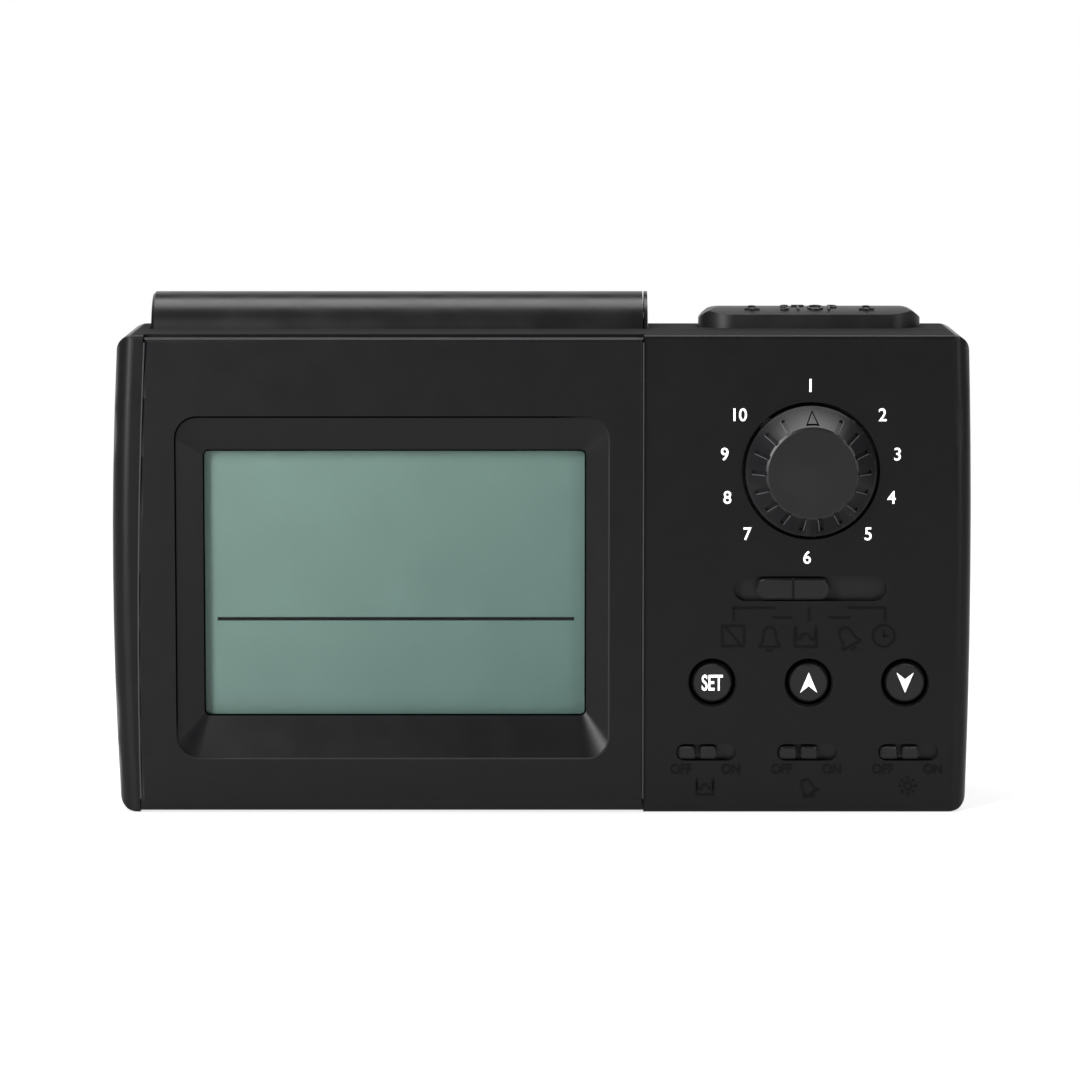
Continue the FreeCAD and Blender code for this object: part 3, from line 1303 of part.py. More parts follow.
def make_button_switches():
    """Three push switches under the set, up and down buttons."""
    body = new_body("button_switches")
    side = Dims.button_radius * 1.8
    blocks = new_sketch(body, "blocks", "front", 0, board_front_y, 0)
    for _, column in BUTTONS:
        across = button_x + Dims.button_pitch * column
        add_rectangle(blocks, side, side, across, Dims.button_rise)
    pad_forward(body, "blocks_pad", blocks, switch_height)
    sockets = new_sketch(body, "sockets", "front", 0, switch_front_y, 0)
    for _, column in BUTTONS:
        across = button_x + Dims.button_pitch * column
        add_circle(sockets, Dims.button_radius / 2 + Dims.slide_gap, across, Dims.button_rise)
    cut_back(body, "sockets_cut", sockets, Dims.button_travel * 2 + Dims.seam)
    return body


# ---------------------------------------------------------------------------------------------------
# Stop button on top
# ---------------------------------------------------------------------------------------------------
def add_end_roll(sketch, side):
    """What is taken off one end of the stop button: all that lies outside an arc down from its crest."""
    end = Dims.stop_length / 2 * side
    start = end - Dims.stop_roll * side
    beyond = end + Dims.stop_roll * side
    crest = case_top + Dims.stop_rise + Dims.stop_crown
    foot = crest - Dims.stop_roll_drop
    above = crest + Dims.stop_crown
    corners = ((end, foot), (beyond, foot), (beyond, above), (start, above), (start, crest))
    first = sketch.GeometryCount
    points = [FreeCAD.Vector(x.value, z.value, 0) for x, z in corners]
    for index in range(4):
        sketch.addGeometry(Part.LineSegment(points[index], points[index + 1]))
        fix_point(sketch, first + index, 1, *corners[index])
        if index:
            sketch.addConstraint(Sketcher.Constraint("Coincident", first + index - 1, 2, first + index, 1))
    fix_point(sketch, first + 3, 2, *corners[4])
    roll = Dims.stop_roll
    drop = Dims.stop_roll_drop
    radius = (roll * roll + drop * drop) / (drop * 2)
    half_turn = math.asin(roll.value / radius.value) / 2
    lift = FreeCAD.Vector(math.sin(half_turn) * side, math.cos(half_turn) - 1, 0)
    crest_point = points[4] + lift * radius.value
    add_centred_arc(sketch, first + 3, first, points[4], crest_point, points[0], start)


def make_stop_button():
    """Long button with round ends and a crowned top, held by a flange under the case's top wall."""
    body = new_body("stop_button")
    section = new_sketch(body, "section", "side", stop_x, stop_y, 0)
    shoulder_z = case_top + Dims.stop_rise
    half = Dims.stop_width / 2
    crown = Dims.stop_crown
    corners = ((-half, shoulder_z), (-half, stop_under_z), (half, stop_under_z), (half, shoulder_z))
    for start, end in zip(corners, corners[1:]):
        start_at = FreeCAD.Vector(start[0].value, start[1].value, 0)
        end_at = FreeCAD.Vector(end[0].value, end[1].value, 0)
        index = section.addGeometry(Part.LineSegment(start_at, end_at))
        fix_point(section, index, 1, *start)
        fix_point(section, index, 2, *end)
    left_end = FreeCAD.Vector(-half.value, shoulder_z.value, 0)
    right_end = FreeCAD.Vector(half.value, shoulder_z.value, 0)
    radius = (half * half + crown * crown) / (crown * 2)
    add_arc_edge(section, 2, 0, right_end, left_end, radius, FreeCAD.Vector(0, 1, 0))
    pad_across(body, "block", section, Dims.stop_length)

    ends = new_sketch(body, "ends", "top", stop_x, stop_y, stop_under_z)
    add_rectangle(ends, Dims.stop_length * 1.2, Dims.stop_width * 1.2)
    add_slot(ends, Dims.stop_length, Dims.stop_width)
    extrude(body, "Pocket", "ends_cut", ends, Dims.stop_width, reverse=True)

    rolls = new_sketch(body, "rolls", "front", stop_x, stop_y - Dims.stop_width, 0)
    for side in (-1, 1):
        add_end_roll(rolls, side)
    cut_back(body, "rolls_cut", rolls, Dims.stop_width * 2)

    flange = new_sketch(body, "flange", "top", stop_x, stop_y, stop_under_z)
    add_slot(flange, Dims.stop_length + Dims.stop_lip * 2, Dims.stop_width - Dims.stop_lip)
    extrude(body, "Pad", "flange_pad", flange, Dims.stop_flange, reverse=True)
    stem = new_sketch(body, "stem", "top", stop_x, stop_y, stop_under_z)
    add_circle(stem, Dims.button_radius / 2)
    switch_top = stop_board_top + switch_height
    extrude(body, "Pad", "stem_pad", stem, stop_under_z - switch_top + Dims.seam * 3, reverse=True)
    return body


def make_stop_switch():
    """Push switch under the stop button, on its own small board."""
    board = new_body("stop_switch_board")
    outline = new_sketch(board, "outline", "top", stop_x, stop_y, stop_board_z)
    add_rectangle(outline, Dims.stop_length, Dims.stop_width - Dims.seam * 2)
    extrude(board, "Pad", "plate", outline, Dims.board_thick)
    switch = new_body("stop_switch")
    side = Dims.button_radius * 1.8
    block = new_sketch(switch, "block", "top", stop_x, stop_y, stop_board_top)
    add_rectangle(block, side, side)
    extrude(switch, "Pad", "block_pad", block, switch_height)
    switch_top = stop_board_top + switch_height
    socket = new_sketch(switch, "socket", "top", stop_x, stop_y, switch_top)
    add_circle(socket, Dims.button_radius / 2 + Dims.slide_gap)
    extrude(switch, "Pocket", "socket_cut", socket, Dims.stop_travel + Dims.seam * 5)
    return [board, switch]


# ---------------------------------------------------------------------------------------------------
# Stand
# ---------------------------------------------------------------------------------------------------
def make_stand():
    """Fold-out plate that hangs from a round barrel along the top of the case."""
    body = new_body("stand")
    cap_room = Dims.cap_thick + Dims.cap_seam
    length = stand_length - cap_room
    middle = stand_middle - cap_room / 2
    barrel = new_sketch(body, "barrel", "side", middle, barrel_y, barrel_z)
    add_circle(barrel, Dims.barrel_radius)
    pad_across(body, "barrel_pad", barrel, length)
    left = barrel_left
    bevel_edges(body, "barrel_end", Dims.seam * 2, lambda edge: lies_at(edge, 0, left))
    plate = new_sketch(body, "plate", "front", 0, stand_inner_y, 0)
    add_box(plate, left, left + length, Dims.stand_foot, barrel_z)
    pad_back(body, "plate_pad", plate, Dims.stand_thick)
    notch = new_sketch(body, "thumb_notch", "front", stand_middle, stand_inner_y, 0)
    add_circle(notch, Dims.thumb_notch)
    cut_back(body, "thumb_notch_cut", notch, Dims.stand_thick)
    round_edges(
        body,
        "foot_corners",
        Dims.case_corner,
        lambda edge: runs_along(edge, 1) and lies_at(edge, 2, Dims.stand_foot),
    )
    bore = new_sketch(body, "bore", "side", stand_middle, barrel_y, barrel_z)
    add_circle(bore, Dims.pin_radius + Dims.pin_play)
    cut_across(body, "bore_cut", bore, stand_length * 1.2)
    socket = new_sketch(body, "cap_socket", "side", left + length, barrel_y, barrel_z)
    add_circle(socket, Dims.cap_spigot)
    extrude(body, "Pocket", "cap_socket_cut", socket, Dims.pin_reach)
    return body


def make_stand_end_cap():
    """Disc with a spigot that closes the barrel's right end."""
    body = new_body("stand_end_cap")
    face_x = barrel_right
    disc = new_sketch(body, "disc", "side", face_x - Dims.cap_thick, barrel_y, barrel_z)
    add_circle(disc, Dims.barrel_radius)
    extrude(body, "Pad", "disc_pad", disc, Dims.cap_thick)
    spigot = new_sketch(body, "spigot", "side", face_x - Dims.cap_thick, barrel_y, barrel_z)
    add_circle(spigot, Dims.cap_spigot)
    extrude(body, "Pad", "spigot_pad", spigot, Dims.cap_seam + Dims.pin_reach, reverse=True)
    bore = new_sketch(body, "bore", "side", face_x, barrel_y, barrel_z)
    add_circle(bore, Dims.pin_radius + Dims.pin_play)
    extrude(body, "Pocket", "bore_cut", bore, Dims.pin_reach * 2)
    return body


def make_hinge_pins():
    """Two steel pins, pressed into the rear housing, on which the barrel turns."""
    body = new_body("hinge_pins")
    length = Dims.pin_bite + Dims.stand_gap + Dims.pin_reach
    left = new_sketch(body, "left", "side", recess_left - Dims.pin_bite, barrel_y, barrel_z)
    add_circle(left, Dims.pin_radius)
    extrude(body, "Pad", "left_pad", left, length)
    right = new_sketch(body, "right", "side", bearing_right, barrel_y, barrel_z)
    add_circle(right, Dims.pin_radius)
    extrude(body, "Pad", "right_pad", right, length, reverse=True)
    return body


# ---------------------------------------------------------------------------------------------------
# Batteries
# ---------------------------------------------------------------------------------------------------
def make_battery_door():
    """Sliding door with a tongue along each side, a bevelled lower edge and grip ribs."""
    body = new_body("battery_door")
    outline = new_sketch(body, "outline", "front", bay_middle, door_inner_y + Dims.rest_gap, 0)
    add_box(outline, -door_width / 2, door_width / 2, door_low, door_high)
    pad_back(body, "plate", outline, Dims.door_thick)
    tongues = new_sketch(body, "tongues", "front", bay_middle, door_inner_y + Dims.rest_gap, 0)
    reach = door_width / 2 + Dims.door_tongue
    add_box(tongues, -reach, reach, door_low, door_high)
    pad_back(body, "tongues_pad", tongues, Dims.door_thick / 2)
    ribs = new_sketch(body, "grip", "front", bay_middle, door_inner_y + Dims.rest_gap + Dims.door_thick, 0)
    for index in range(DOOR_RIBS):
        height = door_high * 0.3 + Dims.strip_thick * 2 * index
        add_rectangle(ribs, Dims.cell_radius * 2, Dims.strip_thick, 0, height)
    cut_forward(body, "grip_cut", ribs, Dims.door_thick / 4)
    return body


def make_batteries():
    """Two round cells, head to tail."""
    body = new_body("battery_cells")
    for name, rise, side in (("lower", lower_cell_z, 1), ("upper", upper_cell_z, -1)):
        section = new_sketch(body, name, "side", bay_middle, cell_y, rise)
        add_circle(section, Dims.cell_radius)
        pad_across(body, f"{name}_can", section, Dims.cell_length)
        end = bay_middle + Dims.cell_length / 2 * side
        tip = new_sketch(body, f"{name}_tip", "side", end, cell_y, rise)
        add_circle(tip, Dims.cell_tip_radius)
        extrude(body, "Pad", f"{name}_tip_pad", tip, Dims.cell_tip, reverse=side < 0)
    return body


def make_contacts():
    """Sheet metal contacts at the bay's ends: a flat plate against the wall and a leaf to the cell."""
    body = new_body("battery_contacts")
    wall_reach = Dims.bay_length / 2
    thick = Dims.contact_thick
    leaf = Dims.contact_height / 2
    for name, rise, button_side in (("lower", lower_cell_z, 1), ("upper", upper_cell_z, -1)):
        for side in (-1, 1):
            end = bay_middle + wall_reach * side
            spare = wall_reach - Dims.cell_length / 2
            room = spare - Dims.cell_tip if side == button_side else spare
            label = f"{name}_{'right' if side > 0 else 'left'}"
            section = new_sketch(body, label, "top", end, cell_y, rise)
            add_outline(
                section,
                (
                    (0, -leaf),
                    (-thick * side, -leaf),
                    (-room * side, 0),
                    (-room * side, leaf / 2),
                    (-(room - thick) * side, leaf / 2),
                    (-(room - thick) * side, 0),
                    (-thick * side, -leaf + thick * 2),
                    (-thick * side, leaf),
                    (0, leaf),
                ),
            )
            extrude(body, "Pad", f"{label}_pad", section, Dims.contact_width, both_ways=True)
    return body


# ---------------------------------------------------------------------------------------------------
# Loudspeaker
# ---------------------------------------------------------------------------------------------------
def make_speaker():
    """Loudspeaker facing the sound slots: basket, paper cone, magnet and a ring that holds the rim."""
    x = speaker_x
    z = speaker_z
    rim = Dims.speaker_radius
    front = speaker_front_y
    back = front - Dims.speaker_deep
    neck = rim * 0.88
    plate = Dims.contact_thick * 2
    seat = Dims.magnet_radius
    basket = new_body("speaker_basket")
    profile = new_sketch(basket, "profile", "top", x, 0, z)
    magnet_y = back + Dims.speaker_deep * 0.45
    add_outline(
        profile,
        (
            (rim, front),
            (rim, front - plate),
            (neck, front - plate),
            (seat, magnet_y),
            (seat * 0.5, magnet_y),
            (seat * 0.5, magnet_y + plate),
            (seat - plate / 2, magnet_y + plate),
            (neck - plate, front - plate),
            (neck - plate, front),
        ),
    )
    turn(basket, "Revolution", "shell", profile)

    cone = new_body("speaker_cone")
    profile = new_sketch(cone, "profile", "top", x, 0, z)
    paper = Dims.contact_thick
    lip = neck - plate
    throat = seat * 0.45
    throat_y = magnet_y + plate + Dims.wall
    add_outline(
        profile,
        (
            (0, throat_y + Dims.wall),
            (throat, throat_y),
            (lip, front - paper * 0.5),
            (lip, front - paper * 1.5),
            (throat, throat_y - paper),
            (0, throat_y + Dims.wall - paper),
        ),
    )
    turn(cone, "Revolution", "paper", profile)

    magnet = new_body("speaker_magnet")
    profile = new_sketch(magnet, "profile", "top", x, 0, z)
    add_outline(
        profile,
        (
            (0, back),
            (seat, back),
            (seat, magnet_y),
            (seat * 0.55, magnet_y),
            (seat * 0.55, back + plate * 2),
            (seat * 0.4, back + plate * 2),
            (seat * 0.4, magnet_y + plate),
            (0, magnet_y + plate),
        ),
    )
    turn(magnet, "Revolution", "cup", profile)

    ring = new_body("speaker_ring")
    outline = new_sketch(ring, "outline", "front", x, front - plate, z)
    add_circle(outline, rim + Dims.seam)
    add_circle(outline, rim * 0.92)
    pad_forward(ring, "ring_pad", outline, Dims.wall / 2)
    return [basket, cone, magnet, ring]


# ---------------------------------------------------------------------------------------------------
# The whole clock
# ---------------------------------------------------------------------------------------------------
def make_controls():
    pieces = [make_city_dial(), make_dial_shaft(), make_dial_switch(), make_mode_slider()]
    mode_length = mode_travel + Dims.leg_length + Dims.wall * 4
    pieces.append(make_slide_switch("mode_switch", ((mode_x, mode_z),), mode_travel, mode_length))
    for name, column in BUTTONS:
        pieces.append(make_push_button(name, button_x + Dims.button_pitch * column))
    pieces.append(make_button_switches())
    for name, column in SLIDERS:
        pieces.append(make_small_slider(name, column))
    places = tuple((slide_x + slide_pitch * column, Dims.slide_rise) for _, column in SLIDERS)
    slide_length = Dims.slide_travel + Dims.leg_length + Dims.wall * 2
    pieces.append(make_slide_switch("slide_switches", places, Dims.slide_travel, slide_length))
    return pieces


def make_clock():
    pieces = [make_front_housing(), make_rear_housing(), make_case_screws(), make_display_surround()]
    pieces += make_display_stack()
    pieces.append(make_board("main_board", main_left, main_right, main_posts, ()))
    pieces.append(
        make_board("control_board", control_left, control_right, control_posts, case_screws[2:])
    )
    pieces += make_board_parts()
    pieces.append(make_board_screws())
    pieces += make_controls()
    pieces.append(make_stop_button())
    pieces += make_stop_switch()
    pieces += [make_stand(), make_stand_end_cap(), make_hinge_pins()]
    pieces += [make_battery_door(), make_batteries(), make_contacts()]
    pieces += make_speaker()
    return pieces


def check_document(pieces):
    """Stops if any object failed, or if a piece has no valid solid."""
    failed = [item.Name for item in doc.Objects if "Invalid" in item.State or "Error" in item.State]
    for piece in pieces:
        shape = piece.Shape
        if shape.isNull() or not shape.isValid() or not shape.Solids:
            failed.append(piece.Label)
    if failed:
        raise RuntimeError("failed objects: " + ", ".join(failed))


def write_steps(pieces):
    os.makedirs("parts", exist_ok=True)
    for piece in pieces:
        piece.Shape.exportStep(f"parts/{piece.Label}.step")
        box = piece.Shape.BoundBox
        print(
            f"{piece.Label:20s} solids {len(piece.Shape.Solids)}  volume {piece.Shape.Volume:9.1f}"
            f"  X {box.XMin:7.2f} {box.XMax:7.2f}  Y {box.YMin:7.2f} {box.YMax:7.2f}"
            f"  Z {box.ZMin:6.2f} {box.ZMax:6.2f}"
        )


clock = make_clock()
doc.recompute()
check_document(clock)
write_steps(clock)
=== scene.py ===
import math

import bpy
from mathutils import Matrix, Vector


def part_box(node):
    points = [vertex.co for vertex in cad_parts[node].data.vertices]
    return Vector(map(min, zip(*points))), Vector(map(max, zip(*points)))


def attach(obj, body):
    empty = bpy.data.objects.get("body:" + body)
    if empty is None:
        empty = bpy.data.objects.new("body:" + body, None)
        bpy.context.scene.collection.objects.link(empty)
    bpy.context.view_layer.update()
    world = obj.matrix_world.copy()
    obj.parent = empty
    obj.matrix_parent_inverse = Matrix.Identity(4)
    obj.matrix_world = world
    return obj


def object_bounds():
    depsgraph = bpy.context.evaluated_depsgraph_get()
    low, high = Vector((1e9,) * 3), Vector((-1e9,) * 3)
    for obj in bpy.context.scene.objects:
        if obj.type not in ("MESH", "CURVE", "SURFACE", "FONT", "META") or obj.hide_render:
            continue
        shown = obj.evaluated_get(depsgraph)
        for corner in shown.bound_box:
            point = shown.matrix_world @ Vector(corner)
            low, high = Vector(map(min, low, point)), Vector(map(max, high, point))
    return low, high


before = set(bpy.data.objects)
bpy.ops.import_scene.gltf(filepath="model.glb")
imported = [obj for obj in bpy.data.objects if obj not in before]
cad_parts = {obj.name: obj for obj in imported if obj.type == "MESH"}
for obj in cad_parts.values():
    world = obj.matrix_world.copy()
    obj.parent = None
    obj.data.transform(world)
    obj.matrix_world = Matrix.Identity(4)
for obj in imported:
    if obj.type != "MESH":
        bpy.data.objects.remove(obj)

# %% [markdown]
# # A black table clock with a prayer-time display
# The clock is a low plastic case. A proud panel on the left frames a grey-green liquid crystal display,
# and a plain panel on the right carries a city dial, a five-position slider, three push buttons and three
# small on-off sliders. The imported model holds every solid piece. This lesson adds what is printed or
# raised on them, gives each piece its finish, and sets the light and the camera. Lengths are in metres,
# written as millimetres times MM.

MM = 0.001
cad_low, cad_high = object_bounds()


def middle_of(node):
    """The middle of a CAD node's box."""
    low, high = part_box(node)
    return (low + high) / 2


face_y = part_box("front_housing")[0].y
panel_face_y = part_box("display_surround")[0].y
case_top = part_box("front_housing")[1].z
dial = middle_of("city_dial")
dial_face_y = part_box("city_dial")[0].y
mode_slot = middle_of("mode_switch")
slider_slots = middle_of("slide_switches")
stop_low, stop_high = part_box("stop_button")
window = middle_of("display_window")
size = (cad_high - cad_low) / MM
print(f"CAD box {size.x:.1f} x {size.y:.1f} x {size.z:.1f} mm, control face at y {face_y / MM:.1f}")

# %% [markdown]
# ## Camera
# The clock is seen almost square on, from a little above, with a long lens, so its sides hardly converge.
# A camera could be tracked to an empty, but a direction turned into a rotation is one line and leaves
# nothing behind in the scene.

# %% Camera
VIEW_DISTANCE = 850 * MM
VIEW_HEIGHT = math.radians(6.4)
LENS = 159.7
aim = Vector((-0.31 * MM, face_y, 48.9 * MM))
back = Vector((0, -math.cos(VIEW_HEIGHT), math.sin(VIEW_HEIGHT)))
bpy.ops.object.camera_add(location=aim + back * VIEW_DISTANCE)
camera = bpy.context.object
camera.rotation_euler = (-back).to_track_quat("-Z", "Y").to_euler()
camera.data.lens = LENS
camera.data.sensor_width = 36
camera.data.clip_start = 0.01
bpy.context.scene.camera = camera
print(f"camera {VIEW_DISTANCE / MM:.0f} mm away, {math.degrees(VIEW_HEIGHT):.1f} degrees up")

# %% [markdown]
# ## Working with operators
# Pieces are shaped with the operators of the menus, as by hand. An operator acts on all that is selected,
# and loading leaves the whole model selected. So everything is deselected first, and a finished piece has
# its place, turn and scale written into its mesh, because patterns and exports are read from the origin.


# %% Selecting and placing
def deselect():
    """Nothing is selected, so that the next operator acts on the new piece only."""
    bpy.ops.object.select_all(action="DESELECT")


def place(piece):
    """Writes a piece's place, turn and scale into its mesh."""
    deselect()
    piece.select_set(True)
    bpy.context.view_layer.objects.active = piece
    bpy.ops.object.transform_apply(location=True, rotation=True, scale=True)
    return piece


deselect()
print(f"{len(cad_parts)} CAD nodes loaded and deselected")

# %% [markdown]
# ## Floor and backdrop
# The clock stands on pale paper that sweeps up behind it. A floor and a wall could be two planes, but one
# plane whose back edge is pulled up leaves no gap between them.

# %% Floor
FLOOR_NEAR = -2.4
FLOOR_FAR = 1.6
FLOOR_SIDE = 2.4
SWEEP_HEIGHT = 1.5
middle_y = (FLOOR_NEAR + FLOOR_FAR) / 2
bpy.ops.mesh.primitive_plane_add(size=1, location=(0, middle_y, 0))
floor = bpy.context.object
floor.name = "studio_sweep"
floor.scale = (FLOOR_SIDE * 2, FLOOR_FAR - FLOOR_NEAR, 1)
place(floor)
bpy.ops.object.mode_set(mode="EDIT")
bpy.ops.mesh.select_all(action="DESELECT")
bpy.ops.mesh.select_mode(type="EDGE")
bpy.ops.object.mode_set(mode="OBJECT")
for edge in floor.data.edges:
    edge.select = all(floor.data.vertices[end].co.y > middle_y for end in edge.vertices)
bpy.ops.object.mode_set(mode="EDIT")
bpy.ops.mesh.extrude_region_move(TRANSFORM_OT_translate={"value": (0, 0, SWEEP_HEIGHT)})
bpy.ops.object.mode_set(mode="OBJECT")
print(f"paper sweep {FLOOR_SIDE * 2:.1f} m wide")

# %% [markdown]
# ## Paper that is white to the eye
# Black plastic shows mostly what it mirrors, so the paper matters more than the lamps. More light on the
# paper would make it white, but would grey the clock too. Instead, part of what the eye, a mirror or
# glass sees of it is a plain white glow. The share grows away from the clock, so that the backdrop is
# plain white while the clock's own shadow still lies on the paper round it.


# %% Tools for materials
def new_material(name):
    """A node material and its main shader."""
    material = bpy.data.materials.new(name)
    material.use_nodes = True
    return material, material.node_tree.nodes["Principled BSDF"]


def add_node(material, kind, **settings):
    """A node of the given kind, with its attributes set."""
    node = material.node_tree.nodes.new(kind)
    for name, value in settings.items():
        setattr(node, name, value)
    return node


def calculate(material, operation, first, second):
    """One sum of two values, each a socket or a plain number."""
    node = add_node(material, "ShaderNodeMath", operation=operation)
    for socket, value in zip(node.inputs, (first, second)):
        if isinstance(value, float):
            socket.default_value = value
        else:
            material.node_tree.links.new(value, socket)
    return node.outputs[0]


def remap(material, value, low, high, start, end):
    """Stretches a value that runs from start to end to run from low to high."""
    stretch = add_node(material, "ShaderNodeMapRange")
    stretch.inputs["From Min"].default_value = start
    stretch.inputs["From Max"].default_value = end
    stretch.inputs["To Min"].default_value = low
    stretch.inputs["To Max"].default_value = high
    material.node_tree.links.new(value, stretch.inputs["Value"])
    return stretch.outputs["Result"]


print("four helpers for materials")

# %% Paper
PAPER_TONE = 0.9
PAPER_ROUGH = 0.9
GLOW_NEAR = 0.72
GLOW_FAR = 1.0
GLOW_START = 0.12
GLOW_END = 0.6
paper, paper_shader = new_material("pale_paper")
links = paper.node_tree.links
paper_shader.inputs["Base Color"].default_value = (PAPER_TONE, PAPER_TONE, PAPER_TONE, 1)
paper_shader.inputs["Roughness"].default_value = PAPER_ROUGH
paper_shader.inputs["Specular IOR Level"].default_value = 0.0
glow = add_node(paper, "ShaderNodeEmission")
path = add_node(paper, "ShaderNodeLightPath")
seen = calculate(paper, "MAXIMUM", path.outputs["Is Camera Ray"], path.outputs["Is Glossy Ray"])
seen = calculate(paper, "MAXIMUM", seen, path.outputs["Is Transmission Ray"])
spot = add_node(paper, "ShaderNodeTexCoord")
away = add_node(paper, "ShaderNodeVectorMath", operation="LENGTH")
links.new(spot.outputs["Object"], away.inputs[0])
glow_share = remap(paper, away.outputs["Value"], GLOW_NEAR, GLOW_FAR, GLOW_START, GLOW_END)
blend = add_node(paper, "ShaderNodeMixShader")
links.new(calculate(paper, "MULTIPLY", seen, glow_share), blend.inputs["Fac"])
links.new(paper_shader.outputs["BSDF"], blend.inputs[1])
links.new(glow.outputs["Emission"], blend.inputs[2])
links.new(blend.outputs["Shader"], paper.node_tree.nodes["Material Output"].inputs["Surface"])
floor.data.materials.append(paper)
print(f"paper glows from {GLOW_NEAR:.2f} near the clock to {GLOW_FAR:.2f} far away")

# %% [markdown]
# ## Light
# Two tall soft boxes stand at the left and right front, the left one nearer and stronger. They draw the
# soft upright highlights on the rolled sides and let the faces fade from left to right. One wide soft box
# overhead draws the thin bright lines along the upper edges. Point lamps would draw hard spots instead. A
# dim room fills the rest, and the view transform is Standard, so a colour shows about as it is written.

# %% Light
CLOCK_MIDDLE = Vector((0, 0, 45 * MM))
WIDE_BOX = (1.4, 0.4)
TALL_BOX = (0.16, 0.46)
SOFT_BOXES = (
    ("overhead_box", (0, 0.1, 0.8), WIDE_BOX, 14.5),
    ("left_box", (-0.32, -0.47, 0.27), TALL_BOX, 6.2),
    ("right_box", (0.56, -0.52, 0.27), TALL_BOX, 1.9),
)
for name, place_at, across_and_up, watts in SOFT_BOXES:
    bpy.ops.object.light_add(type="AREA", location=place_at)
    lamp = bpy.context.object
    lamp.name = name
    lamp.data.shape = "RECTANGLE"
    lamp.data.size, lamp.data.size_y = across_and_up
    lamp.data.energy = watts
    lamp.rotation_euler = (CLOCK_MIDDLE - Vector(place_at)).to_track_quat("-Z", "Y").to_euler()
    print(f"{name}: {watts} W")

# %% Room
ROOM_TINT = (0.95, 0.98, 1.0, 1)
ROOM_LIGHT = 0.055
world = bpy.data.worlds.new("dim_room")
world.use_nodes = True
room = world.node_tree.nodes["Background"]
room.inputs["Color"].default_value = ROOM_TINT
room.inputs["Strength"].default_value = ROOM_LIGHT
bpy.context.scene.world = world
bpy.context.scene.view_settings.view_transform = "Standard"
print(f"room lit at {ROOM_LIGHT}")

# %% [markdown]
# ## How a finish is built
# Every finish starts from one noise in the piece's own coordinates, which needs no unwrapping and no
# image. It can mottle the colour between two tones, swing the roughness and raise a fine grain. Most of a
# noise lies in a narrow band about its middle, so that band is what gets stretched to the range wanted.

# %% Noise, mix and bump
NOISE_LOW = 0.35
NOISE_HIGH = 0.65


def object_axes(material):
    """The piece's own X, Y and Z, as sockets."""
    place_in = add_node(material, "ShaderNodeTexCoord")
    parts = add_node(material, "ShaderNodeSeparateXYZ")
    material.node_tree.links.new(place_in.outputs["Object"], parts.inputs["Vector"])
    return parts.outputs


def object_noise(material, grain, detail=2.0):
    """Noise in the piece's own coordinates, whose lumps are about as wide as grain."""
    place_in = add_node(material, "ShaderNodeTexCoord")
    noise = add_node(material, "ShaderNodeTexNoise")
    noise.inputs["Scale"].default_value = 1 / grain
    noise.inputs["Detail"].default_value = detail
    material.node_tree.links.new(place_in.outputs["Object"], noise.inputs["Vector"])
    return noise


def colour_between(material, factor, first, second):
    """Mixes two colours by a socket and returns the result's socket."""
    mix = add_node(material, "ShaderNodeMix", data_type="RGBA")
    mix.inputs["A"].default_value = (*first, 1)
    mix.inputs["B"].default_value = (*second, 1)
    material.node_tree.links.new(factor, mix.inputs["Factor"])
    return mix.outputs["Result"]


def from_noise(material, noise, low, high):
    """A value that swings with a noise, mostly from low to high."""
    return remap(material, noise.outputs["Fac"], low, high, NOISE_LOW, NOISE_HIGH)


def add_bump(material, shader, height, depth):
    """Raises the surface by a height socket, depth metres from its lowest to its highest."""
    bump = add_node(material, "ShaderNodeBump")
    bump.inputs["Distance"].default_value = depth
    bump.inputs["Strength"].default_value = 1.0
    material.node_tree.links.new(height, bump.inputs["Height"])
    material.node_tree.links.new(bump.outputs["Normal"], shader.inputs["Normal"])


print(f"noise is stretched from {NOISE_LOW} to {NOISE_HIGH}")

# %% [markdown]
# ## Moulded plastic
# A flat colour looks like paint on a screen, while a real moulding has a spark-eroded grain about a
# quarter of a millimetre wide, flows of slightly different tone and an uneven sheen. One function gives
# all three, and its values are changed for each tool that made a piece.

# %% Moulded plastic
MOTTLE = 6 * MM
COARSE = 0.92
COARSE_BAND = 0.08 * MM


def moulded(
    name,
    colour,
    tone=0.1,
    rough=(0.315, 0.35),
    grain=0.25 * MM,
    depth=0.006 * MM,
    gloss=0.15,
    ends=None,
):
    """Moulded plastic: a mottle of two near tones, an uneven sheen and a fine eroded grain.

    With ends, the surfaces above that height are left as coarse as the tool made them."""
    material, shader = new_material(name)
    mottle = object_noise(material, MOTTLE)
    light = [part * (1 + tone) for part in colour]
    dark = [part * (1 - tone) for part in colour]
    links = material.node_tree.links
    links.new(colour_between(material, mottle.outputs["Fac"], dark, light), shader.inputs["Base Color"])
    sheen = from_noise(material, mottle, *rough)
    if ends:
        coarse = remap(material, object_axes(material)["Z"], 0, COARSE, ends - COARSE_BAND, ends)
        sheen = calculate(material, "MAXIMUM", sheen, coarse)
    links.new(sheen, shader.inputs["Roughness"])
    fine = object_noise(material, grain, 3.0)
    add_bump(material, shader, fine.outputs["Fac"], depth)
    shader.inputs["Specular IOR Level"].default_value = gloss
    return material


def dress(material, *nodes):
    """Gives CAD nodes a finish through their material slots."""
    for name in nodes:
        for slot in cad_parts[name].material_slots:
            slot.material = material


print(f"mottle {MOTTLE / MM:.0f} mm wide")

